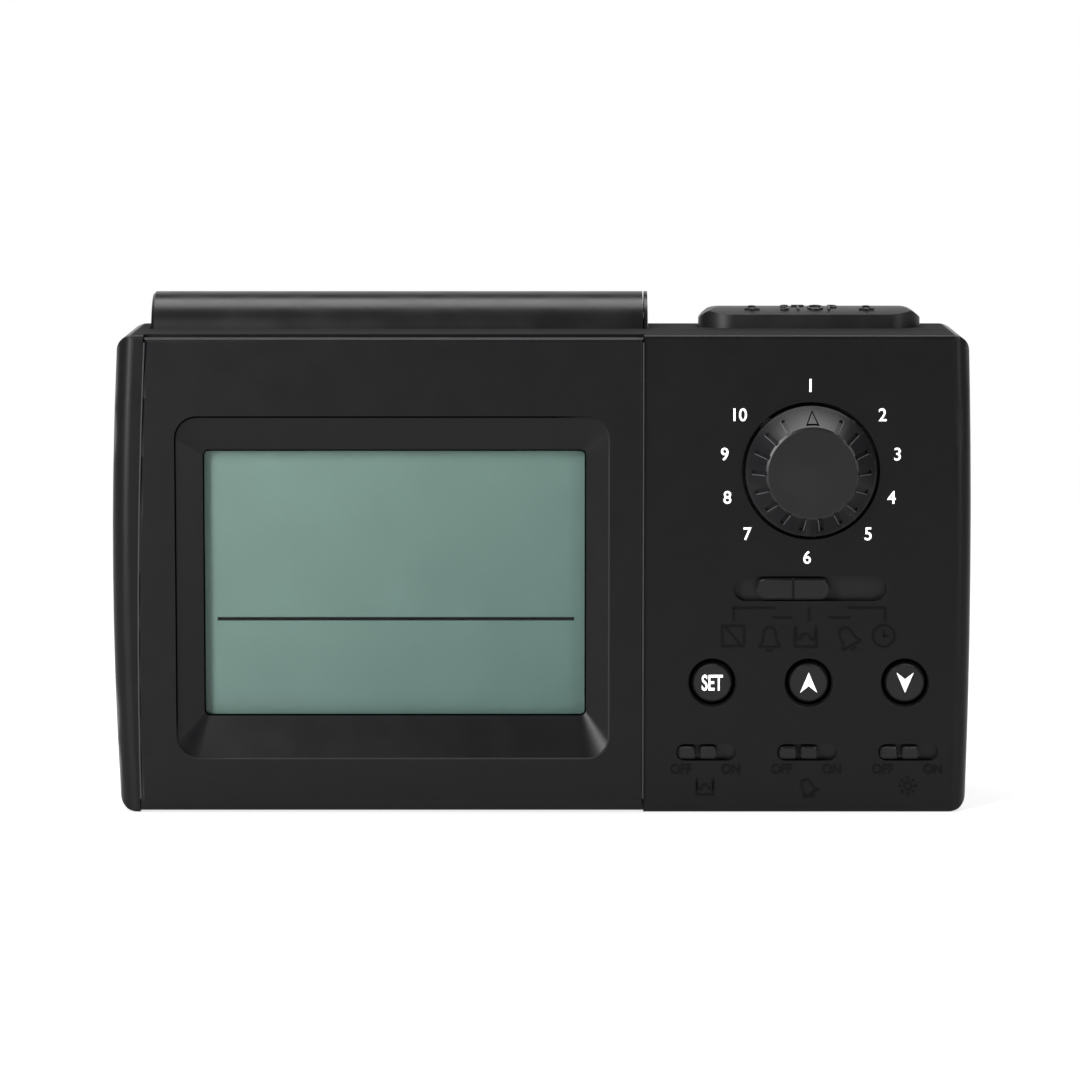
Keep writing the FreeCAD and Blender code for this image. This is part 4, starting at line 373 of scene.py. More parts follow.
# %% [markdown]
# ## Black mouldings
# Case, display panel, stand, controls and battery door are the same black plastic from different tools.
# The panel has the finest grain and is a shade lighter than the case. The stand and the finger pieces
# mirror a little more, in a sheen of their own width, and the door is the dullest. The case's flat top is
# as coarse as the tool left it, so it stays dark under the overhead lamp. One material for all would be
# quicker, but then no piece would stand out from the next.

# %% Black mouldings
FLAT_TOP = case_top - 0.02 * MM
FINE = 0.003 * MM
case_black = moulded("case_black", (0.003, 0.003, 0.0034), ends=FLAT_TOP)
panel_black = moulded("panel_black", (0.0036, 0.0036, 0.0041), grain=0.2 * MM)
stand_black = moulded("stand_black", (0.0045, 0.0045, 0.005), rough=(0.28, 0.34), gloss=0.23)
button_tone = (0.0065, 0.0065, 0.007)
button_black = moulded("button_black", button_tone, rough=(0.34, 0.42), depth=0.004 * MM, gloss=0.2)
dial_black = moulded("dial_black", (0.006, 0.006, 0.0067), rough=(0.33, 0.4), depth=FINE, gloss=0.25)
knob_black = moulded("knob_black", (0.004, 0.004, 0.0044), rough=(0.3, 0.38), depth=FINE, gloss=0.25)
stop_black = moulded("stop_black", button_tone, rough=(0.38, 0.46), gloss=0.28)
door_black = moulded("door_black", (0.007, 0.007, 0.0075), rough=(0.54, 0.62), depth=0.01 * MM)
dress(case_black, "front_housing", "rear_housing")
dress(panel_black, "display_surround")
dress(stand_black, "stand", "stand_end_cap")
dress(button_black, "set_button", "up_button", "down_button")
dress(dial_black, "city_dial")
dress(knob_black, "mode_slider", "call_switch_knob", "snooze_switch_knob", "season_switch_knob")
dress(stop_black, "stop_button")
dress(door_black, "battery_door")
print("black mouldings dressed")

# %% [markdown]
# ## Display
# The front sheet of display glass carries a matt polariser, which gives the grey-green field, with a
# trace of cloudiness. Its upper left is painted lighter, as painted light from the lamp at the left, by
# a slow slope of tone across the sheet. A gradient texture could do the slope too. Two coordinates, added
# and halved, are easier to place on the sheet.

# %% Display glass
LCD_LIT_TONE = (0.081, 0.128, 0.111)
LCD_SHADED_TONE = (0.043, 0.082, 0.074)
LCD_HALF = (34 * MM, 24 * MM)
LCD_CLOUD = 9 * MM
LCD_GRAIN = 0.12 * MM


def slope_across(material, centre, reach_x, reach_z):
    """0 at the lower right and 1 at the upper left of a box with that centre and half size."""
    axes = object_axes(material)
    along = remap(material, axes["X"], 1, 0, centre.x - reach_x, centre.x + reach_x)
    up = remap(material, axes["Z"], 0, 1, centre.z - reach_z, centre.z + reach_z)
    return calculate(material, "MULTIPLY", calculate(material, "ADD", along, up), 0.5)


lcd_field, lcd_shader = new_material("lcd_polariser")
# Painted light: the field is lighter towards the upper left, where the lamp is.
lcd_painted_light = slope_across(lcd_field, window, *LCD_HALF)
lcd_lit_and_shaded = colour_between(lcd_field, lcd_painted_light, LCD_SHADED_TONE, LCD_LIT_TONE)
cloud = object_noise(lcd_field, LCD_CLOUD)
cloud_mix = add_node(lcd_field, "ShaderNodeMix", data_type="RGBA", blend_type="SOFT_LIGHT")
cloud_mix.inputs["Factor"].default_value = 0.12
links = lcd_field.node_tree.links
links.new(lcd_lit_and_shaded, cloud_mix.inputs["A"])
links.new(cloud.outputs["Fac"], cloud_mix.inputs["B"])
links.new(cloud_mix.outputs["Result"], lcd_shader.inputs["Base Color"])
links.new(from_noise(lcd_field, cloud, 0.5, 0.6), lcd_shader.inputs["Roughness"])
add_bump(lcd_field, lcd_shader, object_noise(lcd_field, LCD_GRAIN).outputs["Fac"], 0.0002 * MM)
lcd_shader.inputs["Specular IOR Level"].default_value = 0.3
dress(lcd_field, "lcd_front_glass")
dress(moulded("rear_polariser", (0.3, 0.34, 0.31), tone=0.05), "lcd_rear_glass")
print("both sheets of display glass dressed")

# %% [markdown]
# ## Window
# The window in front of the glass is clear acrylic. A glass shader would bend light inside the sheet and
# make it dark and noisy behind. A see-through shader doesn't, and a mirror is mixed over it, by a share
# that grows towards grazing angles. The share is only on the outer faces, because seen from inside the
# sheet it would become a full mirror.

# %% Window
ACRYLIC_TINT = (0.97, 0.98, 0.975, 1)
ACRYLIC_IOR = 1.3
HAZE = 14 * MM
clear = bpy.data.materials.new("clear_acrylic")
clear.use_nodes = True
clear.node_tree.nodes.remove(clear.node_tree.nodes["Principled BSDF"])
links = clear.node_tree.links
see_through = add_node(clear, "ShaderNodeBsdfTransparent")
see_through.inputs["Color"].default_value = ACRYLIC_TINT
mirror = add_node(clear, "ShaderNodeBsdfGlossy")
mirror_share = add_node(clear, "ShaderNodeFresnel")
mirror_share.inputs["IOR"].default_value = ACRYLIC_IOR
haze = object_noise(clear, HAZE)
links.new(from_noise(clear, haze, 0.05, 0.09), mirror.inputs["Roughness"])
side = add_node(clear, "ShaderNodeNewGeometry")
outer_share = add_node(clear, "ShaderNodeMix")
links.new(side.outputs["Backfacing"], outer_share.inputs["Factor"])
links.new(mirror_share.outputs["Fac"], outer_share.inputs["A"])
outer_share.inputs["B"].default_value = 0.0
pane = add_node(clear, "ShaderNodeMixShader")
links.new(outer_share.outputs["Result"], pane.inputs["Fac"])
links.new(see_through.outputs["BSDF"], pane.inputs[1])
links.new(mirror.outputs["BSDF"], pane.inputs[2])
links.new(pane.outputs["Shader"], clear.node_tree.nodes["Material Output"].inputs["Surface"])
dress(clear, "display_window")
print("window dressed")

# %% [markdown]
# ## Boards
# Almost nothing inside shows while the case is closed, yet each piece has its own stuff. The boards have
# copper tracks under a lacquer that is green, or black where the gap round the dial lets the board be
# seen. Tracks could be drawn one by one, but a brick pattern, whose mortar lines stand for copper, is
# enough here.

# %% Boards
BRICK = 12 * MM
TRACK_DEEP = 0.02 * MM
WEAVE = 1.2 * MM


def board_finish(name, first, second, track):
    """Lacquer over fibreglass with faint copper tracks."""
    material, shader = new_material(name)
    place_in = add_node(material, "ShaderNodeTexCoord")
    turn = add_node(material, "ShaderNodeMapping")
    turn.inputs["Rotation"].default_value = (math.pi / 2, 0, 0)
    tracks = add_node(material, "ShaderNodeTexBrick")
    tracks.inputs["Scale"].default_value = 1 / BRICK
    tracks.inputs["Mortar Size"].default_value = 0.03
    tracks.inputs["Color1"].default_value = (*first, 1)
    tracks.inputs["Color2"].default_value = (*second, 1)
    tracks.inputs["Mortar"].default_value = (*track, 1)
    links = material.node_tree.links
    links.new(place_in.outputs["Object"], turn.inputs["Vector"])
    links.new(turn.outputs["Vector"], tracks.inputs["Vector"])
    links.new(tracks.outputs["Color"], shader.inputs["Base Color"])
    add_bump(material, shader, tracks.outputs["Fac"], TRACK_DEEP)
    weave = object_noise(material, WEAVE)
    links.new(from_noise(material, weave, 0.3, 0.42), shader.inputs["Roughness"])
    return material


green_tones = ((0.012, 0.09, 0.035), (0.016, 0.11, 0.045), (0.05, 0.2, 0.06))
black_tones = ((0.002, 0.002, 0.0022), (0.0025, 0.0025, 0.0028), (0.004, 0.004, 0.004))
dress(board_finish("green_lacquer", *green_tones), "main_board", "stop_switch_board")
dress(board_finish("black_lacquer", *black_tones), "control_board")
print("three boards lacquered")

# %% [markdown]
# ## Screws, pins, contacts and pressed steel
# Small metal pieces are plated or drawn, never as even as a mirror. A cloudy noise varies both their tone
# and their polish, which one roughness for the whole piece can't do.

# %% Metal
CLOUDY = 2 * MM
DRAWN = 0.15 * MM


def bare_metal(name, colour, rough=(0.25, 0.4)):
    """Plated or drawn metal with an uneven polish."""
    material, shader = new_material(name)
    cloudy = object_noise(material, CLOUDY, 4.0)
    links = material.node_tree.links
    dark = [part * 0.85 for part in colour]
    links.new(colour_between(material, cloudy.outputs["Fac"], dark, colour), shader.inputs["Base Color"])
    links.new(from_noise(material, cloudy, *rough), shader.inputs["Roughness"])
    shader.inputs["Metallic"].default_value = 1.0
    add_bump(material, shader, object_noise(material, DRAWN).outputs["Fac"], 0.002 * MM)
    return material


dress(bare_metal("screw_zinc", (0.62, 0.61, 0.58)), "case_screws", "board_screws", "quartz_crystal")
dress(bare_metal("pin_steel", (0.52, 0.52, 0.53), (0.18, 0.28)), "hinge_pins")
dress(bare_metal("contact_nickel", (0.66, 0.63, 0.57), (0.2, 0.32)), "battery_contacts")
dress(bare_metal("basket_steel", (0.45, 0.46, 0.47), (0.35, 0.5)), "speaker_basket")
dress(bare_metal("magnet_plating", (0.38, 0.38, 0.39), (0.3, 0.45)), "speaker_magnet")
print("five metals made")

# %% [markdown]
# ## Ribbon cable, rubber strips and cells
# The ribbon cable is a row of fused wires, and the strips that feed the display are layers of conducting
# and plain rubber, far finer. Both are stripes across one axis, which a wave pattern gives at any pitch.
# The cells have a foil sleeve, whose one end is a copper-coloured band. Its edge is a step along X, because
# the cells lie on their sides.

# %% Ribbon cable and rubber strips
WIRE_PITCH = 1.27 * MM
LAYER_PITCH = 0.25 * MM
WAVES_IN_UNIT = 10
STRIPE_DEEP = 0.1 * MM


def striped(name, first, second, pitch, axis, rough):
    """Even stripes across one axis, as on a flat ribbon cable."""
    material, shader = new_material(name)
    place_in = add_node(material, "ShaderNodeTexCoord")
    stripes = add_node(material, "ShaderNodeTexWave", bands_direction=axis)
    stripes.inputs["Scale"].default_value = 1 / pitch / WAVES_IN_UNIT
    links = material.node_tree.links
    links.new(place_in.outputs["Object"], stripes.inputs["Vector"])
    links.new(colour_between(material, stripes.outputs["Fac"], first, second), shader.inputs["Base Color"])
    add_bump(material, shader, stripes.outputs["Fac"], STRIPE_DEEP)
    shader.inputs["Roughness"].default_value = rough
    return material


strip_tones = ((0.5, 0.16, 0.2), (0.05, 0.05, 0.05))
wire_tones = ((0.42, 0.43, 0.45), (0.24, 0.25, 0.27))
dress(striped("strip_rubber", *strip_tones, LAYER_PITCH, "X", 0.6), "connector_strips")
dress(striped("ribbon_grey", *wire_tones, WIRE_PITCH, "Z", 0.45), "ribbon_cable")
print(f"stripes {WIRE_PITCH / MM:.2f} and {LAYER_PITCH / MM:.2f} mm apart")

# %% Cells
SLEEVE_GREY = (0.09, 0.092, 0.098)
SLEEVE_COPPER = (0.42, 0.2, 0.09)
BAND_FROM = 9 * MM
BAND_TO = 9.4 * MM
sleeve, sleeve_shader = new_material("cell_sleeve")
links = sleeve.node_tree.links
cell_x = middle_of("battery_cells").x
band = remap(sleeve, object_axes(sleeve)["X"], 0, 1, cell_x + BAND_FROM, cell_x + BAND_TO)
links.new(colour_between(sleeve, band, SLEEVE_GREY, SLEEVE_COPPER), sleeve_shader.inputs["Base Color"])
wrinkles = object_noise(sleeve, 3 * MM)
links.new(from_noise(sleeve, wrinkles, 0.22, 0.34), sleeve_shader.inputs["Roughness"])
add_bump(sleeve, sleeve_shader, wrinkles.outputs["Fac"], 0.02 * MM)
sleeve_shader.inputs["Metallic"].default_value = 0.7
dress(sleeve, "battery_cells")
print(f"copper band starts {BAND_FROM / MM:.0f} mm from the cells' middle")

# %% [markdown]
# ## Small mouldings inside
# Switch bodies, the dial's shaft, the display's frame and its light guide are moulded too, so they come
# from the same function as the case, with their own tone and sheen. The potted chip is cast resin, and
# the loudspeaker's cone is pulp paper, which is the same mottle made stronger and quite matt.

# %% Small mouldings
cream = moulded("switch_cream", (0.6, 0.56, 0.46), tone=0.04, rough=(0.4, 0.5))
dress(cream, "dial_switch", "mode_switch", "slide_switches", "button_switches", "stop_switch")
dress(moulded("shaft_nylon", (0.62, 0.6, 0.54), tone=0.03, rough=(0.45, 0.55)), "dial_shaft")
dress(moulded("frame_white", (0.66, 0.66, 0.64), tone=0.03, rough=(0.5, 0.6)), "lcd_holder")
dress(moulded("guide_milk", (0.72, 0.75, 0.72), tone=0.03, rough=(0.2, 0.28)), "light_guide")
dress(moulded("lamp_lens", (0.8, 0.8, 0.62), tone=0.04, rough=(0.15, 0.22)), "backlight_lamps")
dress(moulded("chip_resin", (0.02, 0.02, 0.021), rough=(0.16, 0.3), depth=0.02 * MM), "control_chip")
dress(moulded("capacitor_sleeve", (0.02, 0.035, 0.12), rough=(0.25, 0.35)), "capacitors")
pulp = moulded("speaker_paper", (0.05, 0.048, 0.045), tone=0.25, rough=(0.85, 0.95), gloss=0.1)
dress(pulp, "speaker_cone")
dress(moulded("ring_black", (0.018, 0.018, 0.019)), "speaker_ring")
finishes = {node.material_slots[0].material.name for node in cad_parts.values()}
print(f"{len(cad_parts)} CAD nodes dressed in {len(finishes)} finishes")

# %% [markdown]
# ## Print and relief
# White marks are pad printed: a film of ink that stands almost nothing above the plastic. The other marks
# are raised by the mould in the case's own black and show only by the light on their edges. Ink gets a
# faint unevenness, as printed films have. A picture on the plastic would do for the ink, but not for the
# relief.

# %% Ink and relief
INK = 0.03 * MM
RELIEF = 0.22 * MM
SUNK = 0.06 * MM
FILM = 0.002 * MM
white_ink = moulded(
    "white_ink", (0.83, 0.84, 0.84), tone=0.03, rough=(0.5, 0.6), depth=FILM, gloss=0.2
)
relief_black = moulded(
    "relief_black", (0.002, 0.002, 0.0022), rough=(0.3, 0.36), depth=FILM, gloss=0.1
)
print(f"ink {INK / MM:.2f} mm and relief {RELIEF / MM:.2f} mm above the plastic")

# %% [markdown]
# ## Words and outlines
# Letters and numbers are text objects made into a mesh. Signs are outlines traced point by point: one
# point is pulled along the outline, the last is joined to the first, and an inset leaves only a border
# where one is wanted. Both are made flat at the origin, get their thickness there, and are then laid on
# the clock. A curve with a bevel would give round borders, while the mould's are square.


# %% Words
def mark(words, name, height, proud, widen=1.0, spacing=1.0, bold=0.0):
    """Text as a thin slab about its own middle, facing up, its base sunk below height zero."""
    deselect()
    bpy.ops.object.text_add(location=(0, 0, 0))
    text = bpy.context.object
    text.name = name
    text.data.body = words
    text.data.space_character = spacing
    text.data.offset = bold
    text.data.extrude = 1.0
    bpy.ops.object.convert(target="MESH")
    slab = bpy.context.object
    corners = [vertex.co for vertex in slab.data.vertices]
    low = Vector(min(co[axis] for co in corners) for axis in range(3))
    high = Vector(max(co[axis] for co in corners) for axis in range(3))
    grow = height / (high.y - low.y)
    slab.scale = (grow * widen, grow, (proud + SUNK) / 2)
    place(slab)
    middle = (low + high) / 2
    slab.location = (-middle.x * grow * widen, -middle.y * grow, (proud - SUNK) / 2)
    return place(slab)


print(f"words go {SUNK / MM:.2f} mm into the plastic, so that no gap shows")


# %% Outlines
def trace(name, points, proud, rim=None):
    """A slab whose outline goes through the points; with a rim, only that border of it is kept."""
    deselect()
    start = Vector((*points[0], 0))
    bpy.ops.mesh.primitive_plane_add(size=MM, location=start)
    slab = bpy.context.object
    slab.name = name
    place(slab)
    bpy.ops.object.mode_set(mode="EDIT")
    bpy.ops.mesh.select_mode(type="VERT")
    bpy.ops.mesh.merge(type="CENTER")
    for before, after in zip(points, points[1:]):
        step = (after[0] - before[0], after[1] - before[1], 0)
        bpy.ops.mesh.extrude_region_move(TRANSFORM_OT_translate={"value": step})
    bpy.ops.mesh.select_all(action="SELECT")
    bpy.ops.mesh.edge_face_add()
    if rim:
        bpy.ops.mesh.select_mode(type="FACE")
        bpy.ops.mesh.select_all(action="SELECT")
        bpy.ops.mesh.inset(thickness=rim, use_even_offset=True)
        bpy.ops.mesh.delete(type="FACE")
    bpy.ops.mesh.select_all(action="SELECT")
    bpy.ops.mesh.extrude_region_move(TRANSFORM_OT_translate={"value": (0, 0, proud + SUNK)})
    bpy.ops.mesh.select_all(action="SELECT")
    bpy.ops.transform.translate(value=(0, 0, -SUNK))
    bpy.ops.mesh.normals_make_consistent(inside=False)
    bpy.ops.object.mode_set(mode="OBJECT")
    return slab


def ring_outline(radius, steps=24):
    """A circle as a closed outline."""
    turn = 2 * math.pi / steps
    return [(radius * math.cos(turn * step), radius * math.sin(turn * step)) for step in range(steps)]


def box_outline(across, up):
    """A rectangle about the middle."""
    return [(across / 2, -up / 2), (across / 2, up / 2), (-across / 2, up / 2), (-across / 2, -up / 2)]


print(f"a circle is traced through {len(ring_outline(1.0))} points")


# %% Laying marks on the clock
def join(name, pieces):
    """Several loose pieces as one object."""
    deselect()
    for piece in pieces:
        piece.select_set(True)
    bpy.context.view_layer.objects.active = pieces[0]
    bpy.ops.object.join()
    pieces[0].name = name
    return pieces[0]


def on_front(piece, x, y, z, turned=0.0):
    """Lays a mark that faces up on a plane that faces the viewer, turned about its own middle."""
    upright = Matrix.Translation((x, y, z)) @ Matrix.Rotation(math.pi / 2, 4, "X")
    piece.matrix_world = upright @ Matrix.Rotation(turned, 4, "Z")
    return place(piece)


def finish_mark(piece, material, body):
    """Material and body of a finished mark."""
    piece.data.materials.clear()
    piece.data.materials.append(material)
    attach(piece, body)
    return piece


print(f"the control face is at y {face_y / MM:.1f} mm")

# %% [markdown]
# ## Numbers round the dial
# Ten city positions are marked by plain numbers, printed in white on the control face. They sit a little
# outside the dial's gap. An even ring would be one line of code, but the real numbers are spread as the
# dial's stops are, so each has its own place, in millimetres from the dial's middle.

# %% Numbers
NUMBER_HEIGHT = 2.3 * MM
NUMBER_PLACES = (
    (-0.2, 15.2),
    (12.6, 10.0),
    (15.3, 3.0),
    (14.3, -4.7),
    (10.2, -11.2),
    (-0.6, -15.4),
    (-11.2, -11.2),
    (-14.8, -4.7),
    (-15.3, 3.0),
    (-12.6, 10.0),
)
for number, (across, up) in enumerate(NUMBER_PLACES, start=1):
    print_mark = mark(str(number), f"city_number_{number}", NUMBER_HEIGHT, INK, widen=0.95, bold=0.012)
    on_front(print_mark, dial.x + across * MM, face_y, dial.z + up * MM)
    finish_mark(print_mark, white_ink, "case")
print(f"{len(NUMBER_PLACES)} numbers printed")

# %% [markdown]
# ## Set, up and down
# The three push buttons are printed too. The arrows are heads with a notch cut into their foot, four
# points each, and the down arrow is the same outline turned over. Each print rides on its own button, so
# that it goes down with it.

# %% Button prints
SET_HEIGHT = 2.9 * MM
ARROW_HALF = 1.53 * MM
ARROW_HIGH = 1.82 * MM
ARROW_NOTCH = 1.2 * MM
set_face_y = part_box("set_button")[0].y
set_print = mark("SET", "set_print", SET_HEIGHT, INK, widen=0.62, bold=0.02)
set_at = middle_of("set_button")
on_front(set_print, set_at.x, set_face_y, set_at.z)
finish_mark(set_print, white_ink, "set_button")
arrow = (
    (0, ARROW_HIGH),
    (ARROW_HALF, -ARROW_HIGH),
    (0, ARROW_NOTCH - ARROW_HIGH),
    (-ARROW_HALF, -ARROW_HIGH),
)
for button, turned in (("up_button", 0.0), ("down_button", math.pi)):
    arrow_print = trace(f"{button}_print", arrow, INK)
    at = middle_of(button)
    on_front(arrow_print, at.x, set_face_y, at.z, turned)
    finish_mark(arrow_print, white_ink, button)
print("three buttons printed")

# %% [markdown]
# ## Signs that the mould raises
# The slider's five stops and the three small sliders are marked by signs: a calendar leaf, bells, a domed
# hall, a clock face and a sun. All of them are borders a third of a millimetre wide. Each outline is
# worked out from the sign's height about its own middle, so that one function serves at every size.


# %% Outlines of bell and hall
def arch(radius, spring_at, steps=8):
    """Half a circle from right to left, standing on a height."""
    turns = [math.pi * step / steps for step in range(steps + 1)]
    return [(radius * math.cos(turn), spring_at + radius * math.sin(turn)) for turn in turns]


def bell_outline(height):
    """A bell with a flared rim, from the rim's right end round over the crown."""
    foot = -height / 2
    flare = [(0.46 * height, foot), (0.46 * height, foot + 0.1 * height)]
    right = flare + [(0.33 * height, foot + 0.3 * height)]
    left = [(-x, y) for x, y in reversed(right)]
    return right + arch(0.3 * height, 0.62 * height - height / 2) + left


def hall_outline(height):
    """A hall with a round dome between two slim towers."""
    foot = -height / 2
    wall = foot + 0.4 * height
    tower = [(0.5 * height, foot), (0.5 * height, foot + 0.75 * height)]
    tower += [(0.43 * height, foot + 0.95 * height), (0.36 * height, foot + 0.75 * height)]
    tower += [(0.36 * height, wall)]
    return tower + arch(0.24 * height, wall) + [(-x, y) for x, y in reversed(tower)]


print(f"bell through {len(bell_outline(1.0))} points, hall through {len(hall_outline(1.0))}")

# %% Signs
RIM = 0.32 * MM
SIGN = 4.2 * MM


def bar(name, across, up, x=0.0, y=0.0, turned=0.0):
    """A short raised bar with its middle at x, y."""
    piece = trace(name, box_outline(across, up), RELIEF)
    piece.matrix_world = Matrix.Translation((x, y, 0)) @ Matrix.Rotation(turned, 4, "Z")
    return place(piece)


def calendar_sign(name, height):
    """A leaf with one slanting stroke."""
    leaf = trace(name, box_outline(height, height * 0.95), RELIEF, RIM)
    stroke = bar(name, height * 0.95, RIM, 0, 0, math.radians(-50))
    return join(name, [leaf, stroke])


def bell_sign(name, height):
    """A bell with its clapper below the rim."""
    outline = trace(name, bell_outline(height), RELIEF, RIM)
    clapper = bar(name, height * 0.25, RIM, 0, -height * 0.62)
    return join(name, [outline, clapper])


def hall_sign(name, height):
    """A domed hall."""
    return trace(name, hall_outline(height), RELIEF, RIM)


def clock_sign(name, height):
    """A clock face at three o'clock."""
    ring = trace(name, ring_outline(height / 2), RELIEF, RIM)
    long_hand = bar(name, RIM, height * 0.3, 0, height * 0.13)
    short_hand = bar(name, height * 0.24, RIM, height * 0.1, 0)
    return join(name, [ring, long_hand, short_hand])


def sun_sign(name, height):
    """A sun with eight rays."""
    ring = trace(name, ring_outline(height * 0.24, 16), RELIEF, RIM)
    reach = height * 0.42
    rays = []
    for step in range(8):
        angle = math.pi / 4 * step
        x, y = reach * math.cos(angle), reach * math.sin(angle)
        rays.append(bar(name, height * 0.16, RIM, x, y, angle))
    return join(name, [ring] + rays)


def raise_on_case(piece, x, z, turned=0.0):
    """Lays a raised sign, line or word on the control face."""
    on_front(piece, x, face_y, z, turned)
    return finish_mark(piece, relief_black, "case")


print(f"signs {SIGN / MM:.1f} mm high, their lines {RIM / MM:.2f} mm wide")

# %% [markdown]
# ## Floors of the button recesses
# Each push button sits in a shallow round recess. Its floor is left coarse by the tool, and its shade is
# painted as a near-black tone, which sets the cap off. The case is one solid with one finish, so the floor
# is a thin ring with its own painted dead black. The outer fifth of a millimetre of the recess keeps the
# case's sheen.

# %% Recess floors
RECESS_OUTER = 4.15 * MM
RECESS_WIDE = 0.58 * MM
RECESS_DEEP = 0.9 * MM
# Painted shade: a near-black ring on each recess floor.
recess_shade_tone = (0.0006, 0.0006, 0.0007)
recess_shade = moulded("recess_shade", recess_shade_tone, rough=(0.6, 0.7), depth=FINE, gloss=0.0)
for button in ("set_button", "up_button", "down_button"):
    floor_ring = trace(f"{button}_recess", ring_outline(RECESS_OUTER, 48), INK, RECESS_WIDE)
    at = middle_of(button)
    on_front(floor_ring, at.x, face_y + RECESS_DEEP, at.z)
    finish_mark(floor_ring, recess_shade, "case")
print("three recess floors")

# %% [markdown]
# ## Under the mode slider
# Five raised signs name the slider's stops, and thin lines lead from the stops to them. The second bell
# is tilted, as if it rang. The lines are bars, made like the signs. They could be traced as one branching
# outline, but separate bars are simpler to place and meet just as well.

# %% Signs under the mode slider
SIGN_PLACES = (
    ("calendar", calendar_sign, -13.6, 0.0),
    ("alarm", bell_sign, -7.1, 0.0),
    ("hall", hall_sign, -0.7, 0.0),
    ("reminder", bell_sign, 6.6, 0.5),
    ("clock", clock_sign, 13.2, 0.0),
)
SIGN_DROP = 8.5 * MM
for title, make_sign, across, turned in SIGN_PLACES:
    sign = make_sign(f"{title}_sign", SIGN)
    raise_on_case(sign, mode_slot.x + across * MM, mode_slot.z - SIGN_DROP, turned)
print(f"{len(SIGN_PLACES)} signs raised")

# %% Guide lines
LINE_HIGH = mode_slot.z - 3.45 * MM
LINE_LOW = mode_slot.z - 5.2 * MM
LINE_FOOT = mode_slot.z - 5.8 * MM
LINES = (
    (-13.9, -6.2, LINE_HIGH),
    (6.8, 13.4, LINE_HIGH),
    (-6.6, -3.2, LINE_LOW),
    (3.4, 7.2, LINE_LOW),
)
for number, (left, right, height) in enumerate(LINES, start=1):
    line = bar(f"guide_line_{number}", (right - left) * MM, RIM)
    raise_on_case(line, mode_slot.x + (left + right) / 2 * MM, height)
DROPS = (-13.5, -0.1, 13.4)
for number, across in enumerate(DROPS, start=1):
    drop = bar(f"guide_drop_{number}", RIM, LINE_HIGH - LINE_FOOT)
    raise_on_case(drop, mode_slot.x + across * MM, (LINE_HIGH + LINE_FOOT) / 2)
print(f"{len(LINES)} guide lines and {len(DROPS)} drops raised")

# %% [markdown]
# ## Under the small sliders
# Each small slider has OFF and ON at its ends and a sign below that says what it switches. The three look
# alike, so one loop makes them, a column at a time, at the pitch of the sliders' own knobs.

# %% Marks of the small sliders
SLIDER_PITCH = middle_of("season_switch_knob").x - middle_of("snooze_switch_knob").x
LABELS = (("OFF", -4.5), ("ON", 4.4))
LABEL_HEIGHT = 1.75 * MM
LABEL_DROP = 3.0 * MM
SMALL_SIGN = SIGN * 0.8
SMALL_SIGN_DROP = 6.1 * MM
SMALL_SIGNS = (
    ("call", hall_sign, -0.2, 0.0),
    ("snooze", bell_sign, 0.0, 0.5),
    ("season", sun_sign, 0.0, 0.0),
)
for column, (title, make_sign, across, turned) in zip((-1, 0, 1), SMALL_SIGNS):
    slot_x = slider_slots.x + SLIDER_PITCH * column
    for words, shift in LABELS:
        label = mark(words, f"{title}_{words.lower()}", LABEL_HEIGHT, RELIEF, widen=0.9, bold=0.01)
        raise_on_case(label, slot_x + shift * MM, slider_slots.z - LABEL_DROP)
    sign = make_sign(f"{title}_sign_small", SMALL_SIGN)
    raise_on_case(sign, slot_x + across * MM, slider_slots.z - SMALL_SIGN_DROP, turned)
print("three small sliders marked")

# %% [markdown]
# ## Marks on the stop button
# The button's crown slopes to the front, and its marks are raised on that slope, seen at a glancing
# angle. They could be shrinkwrapped to the crown, but a slab of text laid at the slope's mean tilt
# follows it to a tenth of a millimetre. All three ride on the button and go down with it.

# %% Stop button marks
stop_middle = (stop_low + stop_high) / 2
CROWN_TILT = math.radians(8.5)
MARK_BACK = -2.6 * MM
MARK_Z = stop_high.z - 0.2 * MM
STOP_HEIGHT = 3.5 * MM
BELL_HEIGHT = 3.0 * MM


def on_crown(piece, across):
    """Lays a mark on the front slope of the stop button's crown."""
    place_at = Matrix.Translation((stop_middle.x + across, stop_middle.y + MARK_BACK, MARK_Z))
    piece.matrix_world = place_at @ Matrix.Rotation(CROWN_TILT, 4, "X")
    place(piece)
    return finish_mark(piece, stop_black, "stop_button")


on_crown(mark("STOP", "stop_relief", STOP_HEIGHT, RELIEF, widen=0.8, spacing=1.15), -0.2 * MM)
for name, across in (("stop_bell_left", -10.5), ("stop_bell_right", 10.2)):
    on_crown(bell_sign(name, BELL_HEIGHT), across * MM)
print(f"stop button marked on a slope of {math.degrees(CROWN_TILT):.1f} degrees")

# %% [markdown]
# ## Pointer on the dial
# The dial's flank carries a small outlined triangle that shows the chosen city. It lies on the cone, so
# it is traced flat, tilted to the flank's slope and set on it at the top, and turns with the dial. It is
# so narrow that bending it round the cone would move its corners by less than a tenth of a millimetre.

# %% Dial's flank
CROWN_RADIUS = 8.05 * MM
FOOT_RADIUS = 11.275 * MM
FOOT_PROUD = 0.975 * MM
flank_rise = face_y - FOOT_PROUD - dial_face_y
flank_tilt = math.atan2(flank_rise, FOOT_RADIUS - CROWN_RADIUS)


def on_flank(piece, radius, angle=0.0):
    """Lays a mark on the dial's flank at a radius, turned clockwise from the top by an angle."""
    deep = (radius - CROWN_RADIUS) * math.tan(flank_tilt)
    piece.matrix_world = (
        Matrix.Translation((dial.x, dial_face_y + deep, dial.z))
        @ Matrix.Rotation(angle, 4, "Y")
        @ Matrix.Translation((0, 0, radius))
        @ Matrix.Rotation(math.pi / 2 - flank_tilt, 4, "X")
    )
    return place(piece)


print(f"flank slopes {math.degrees(flank_tilt):.0f} degrees")

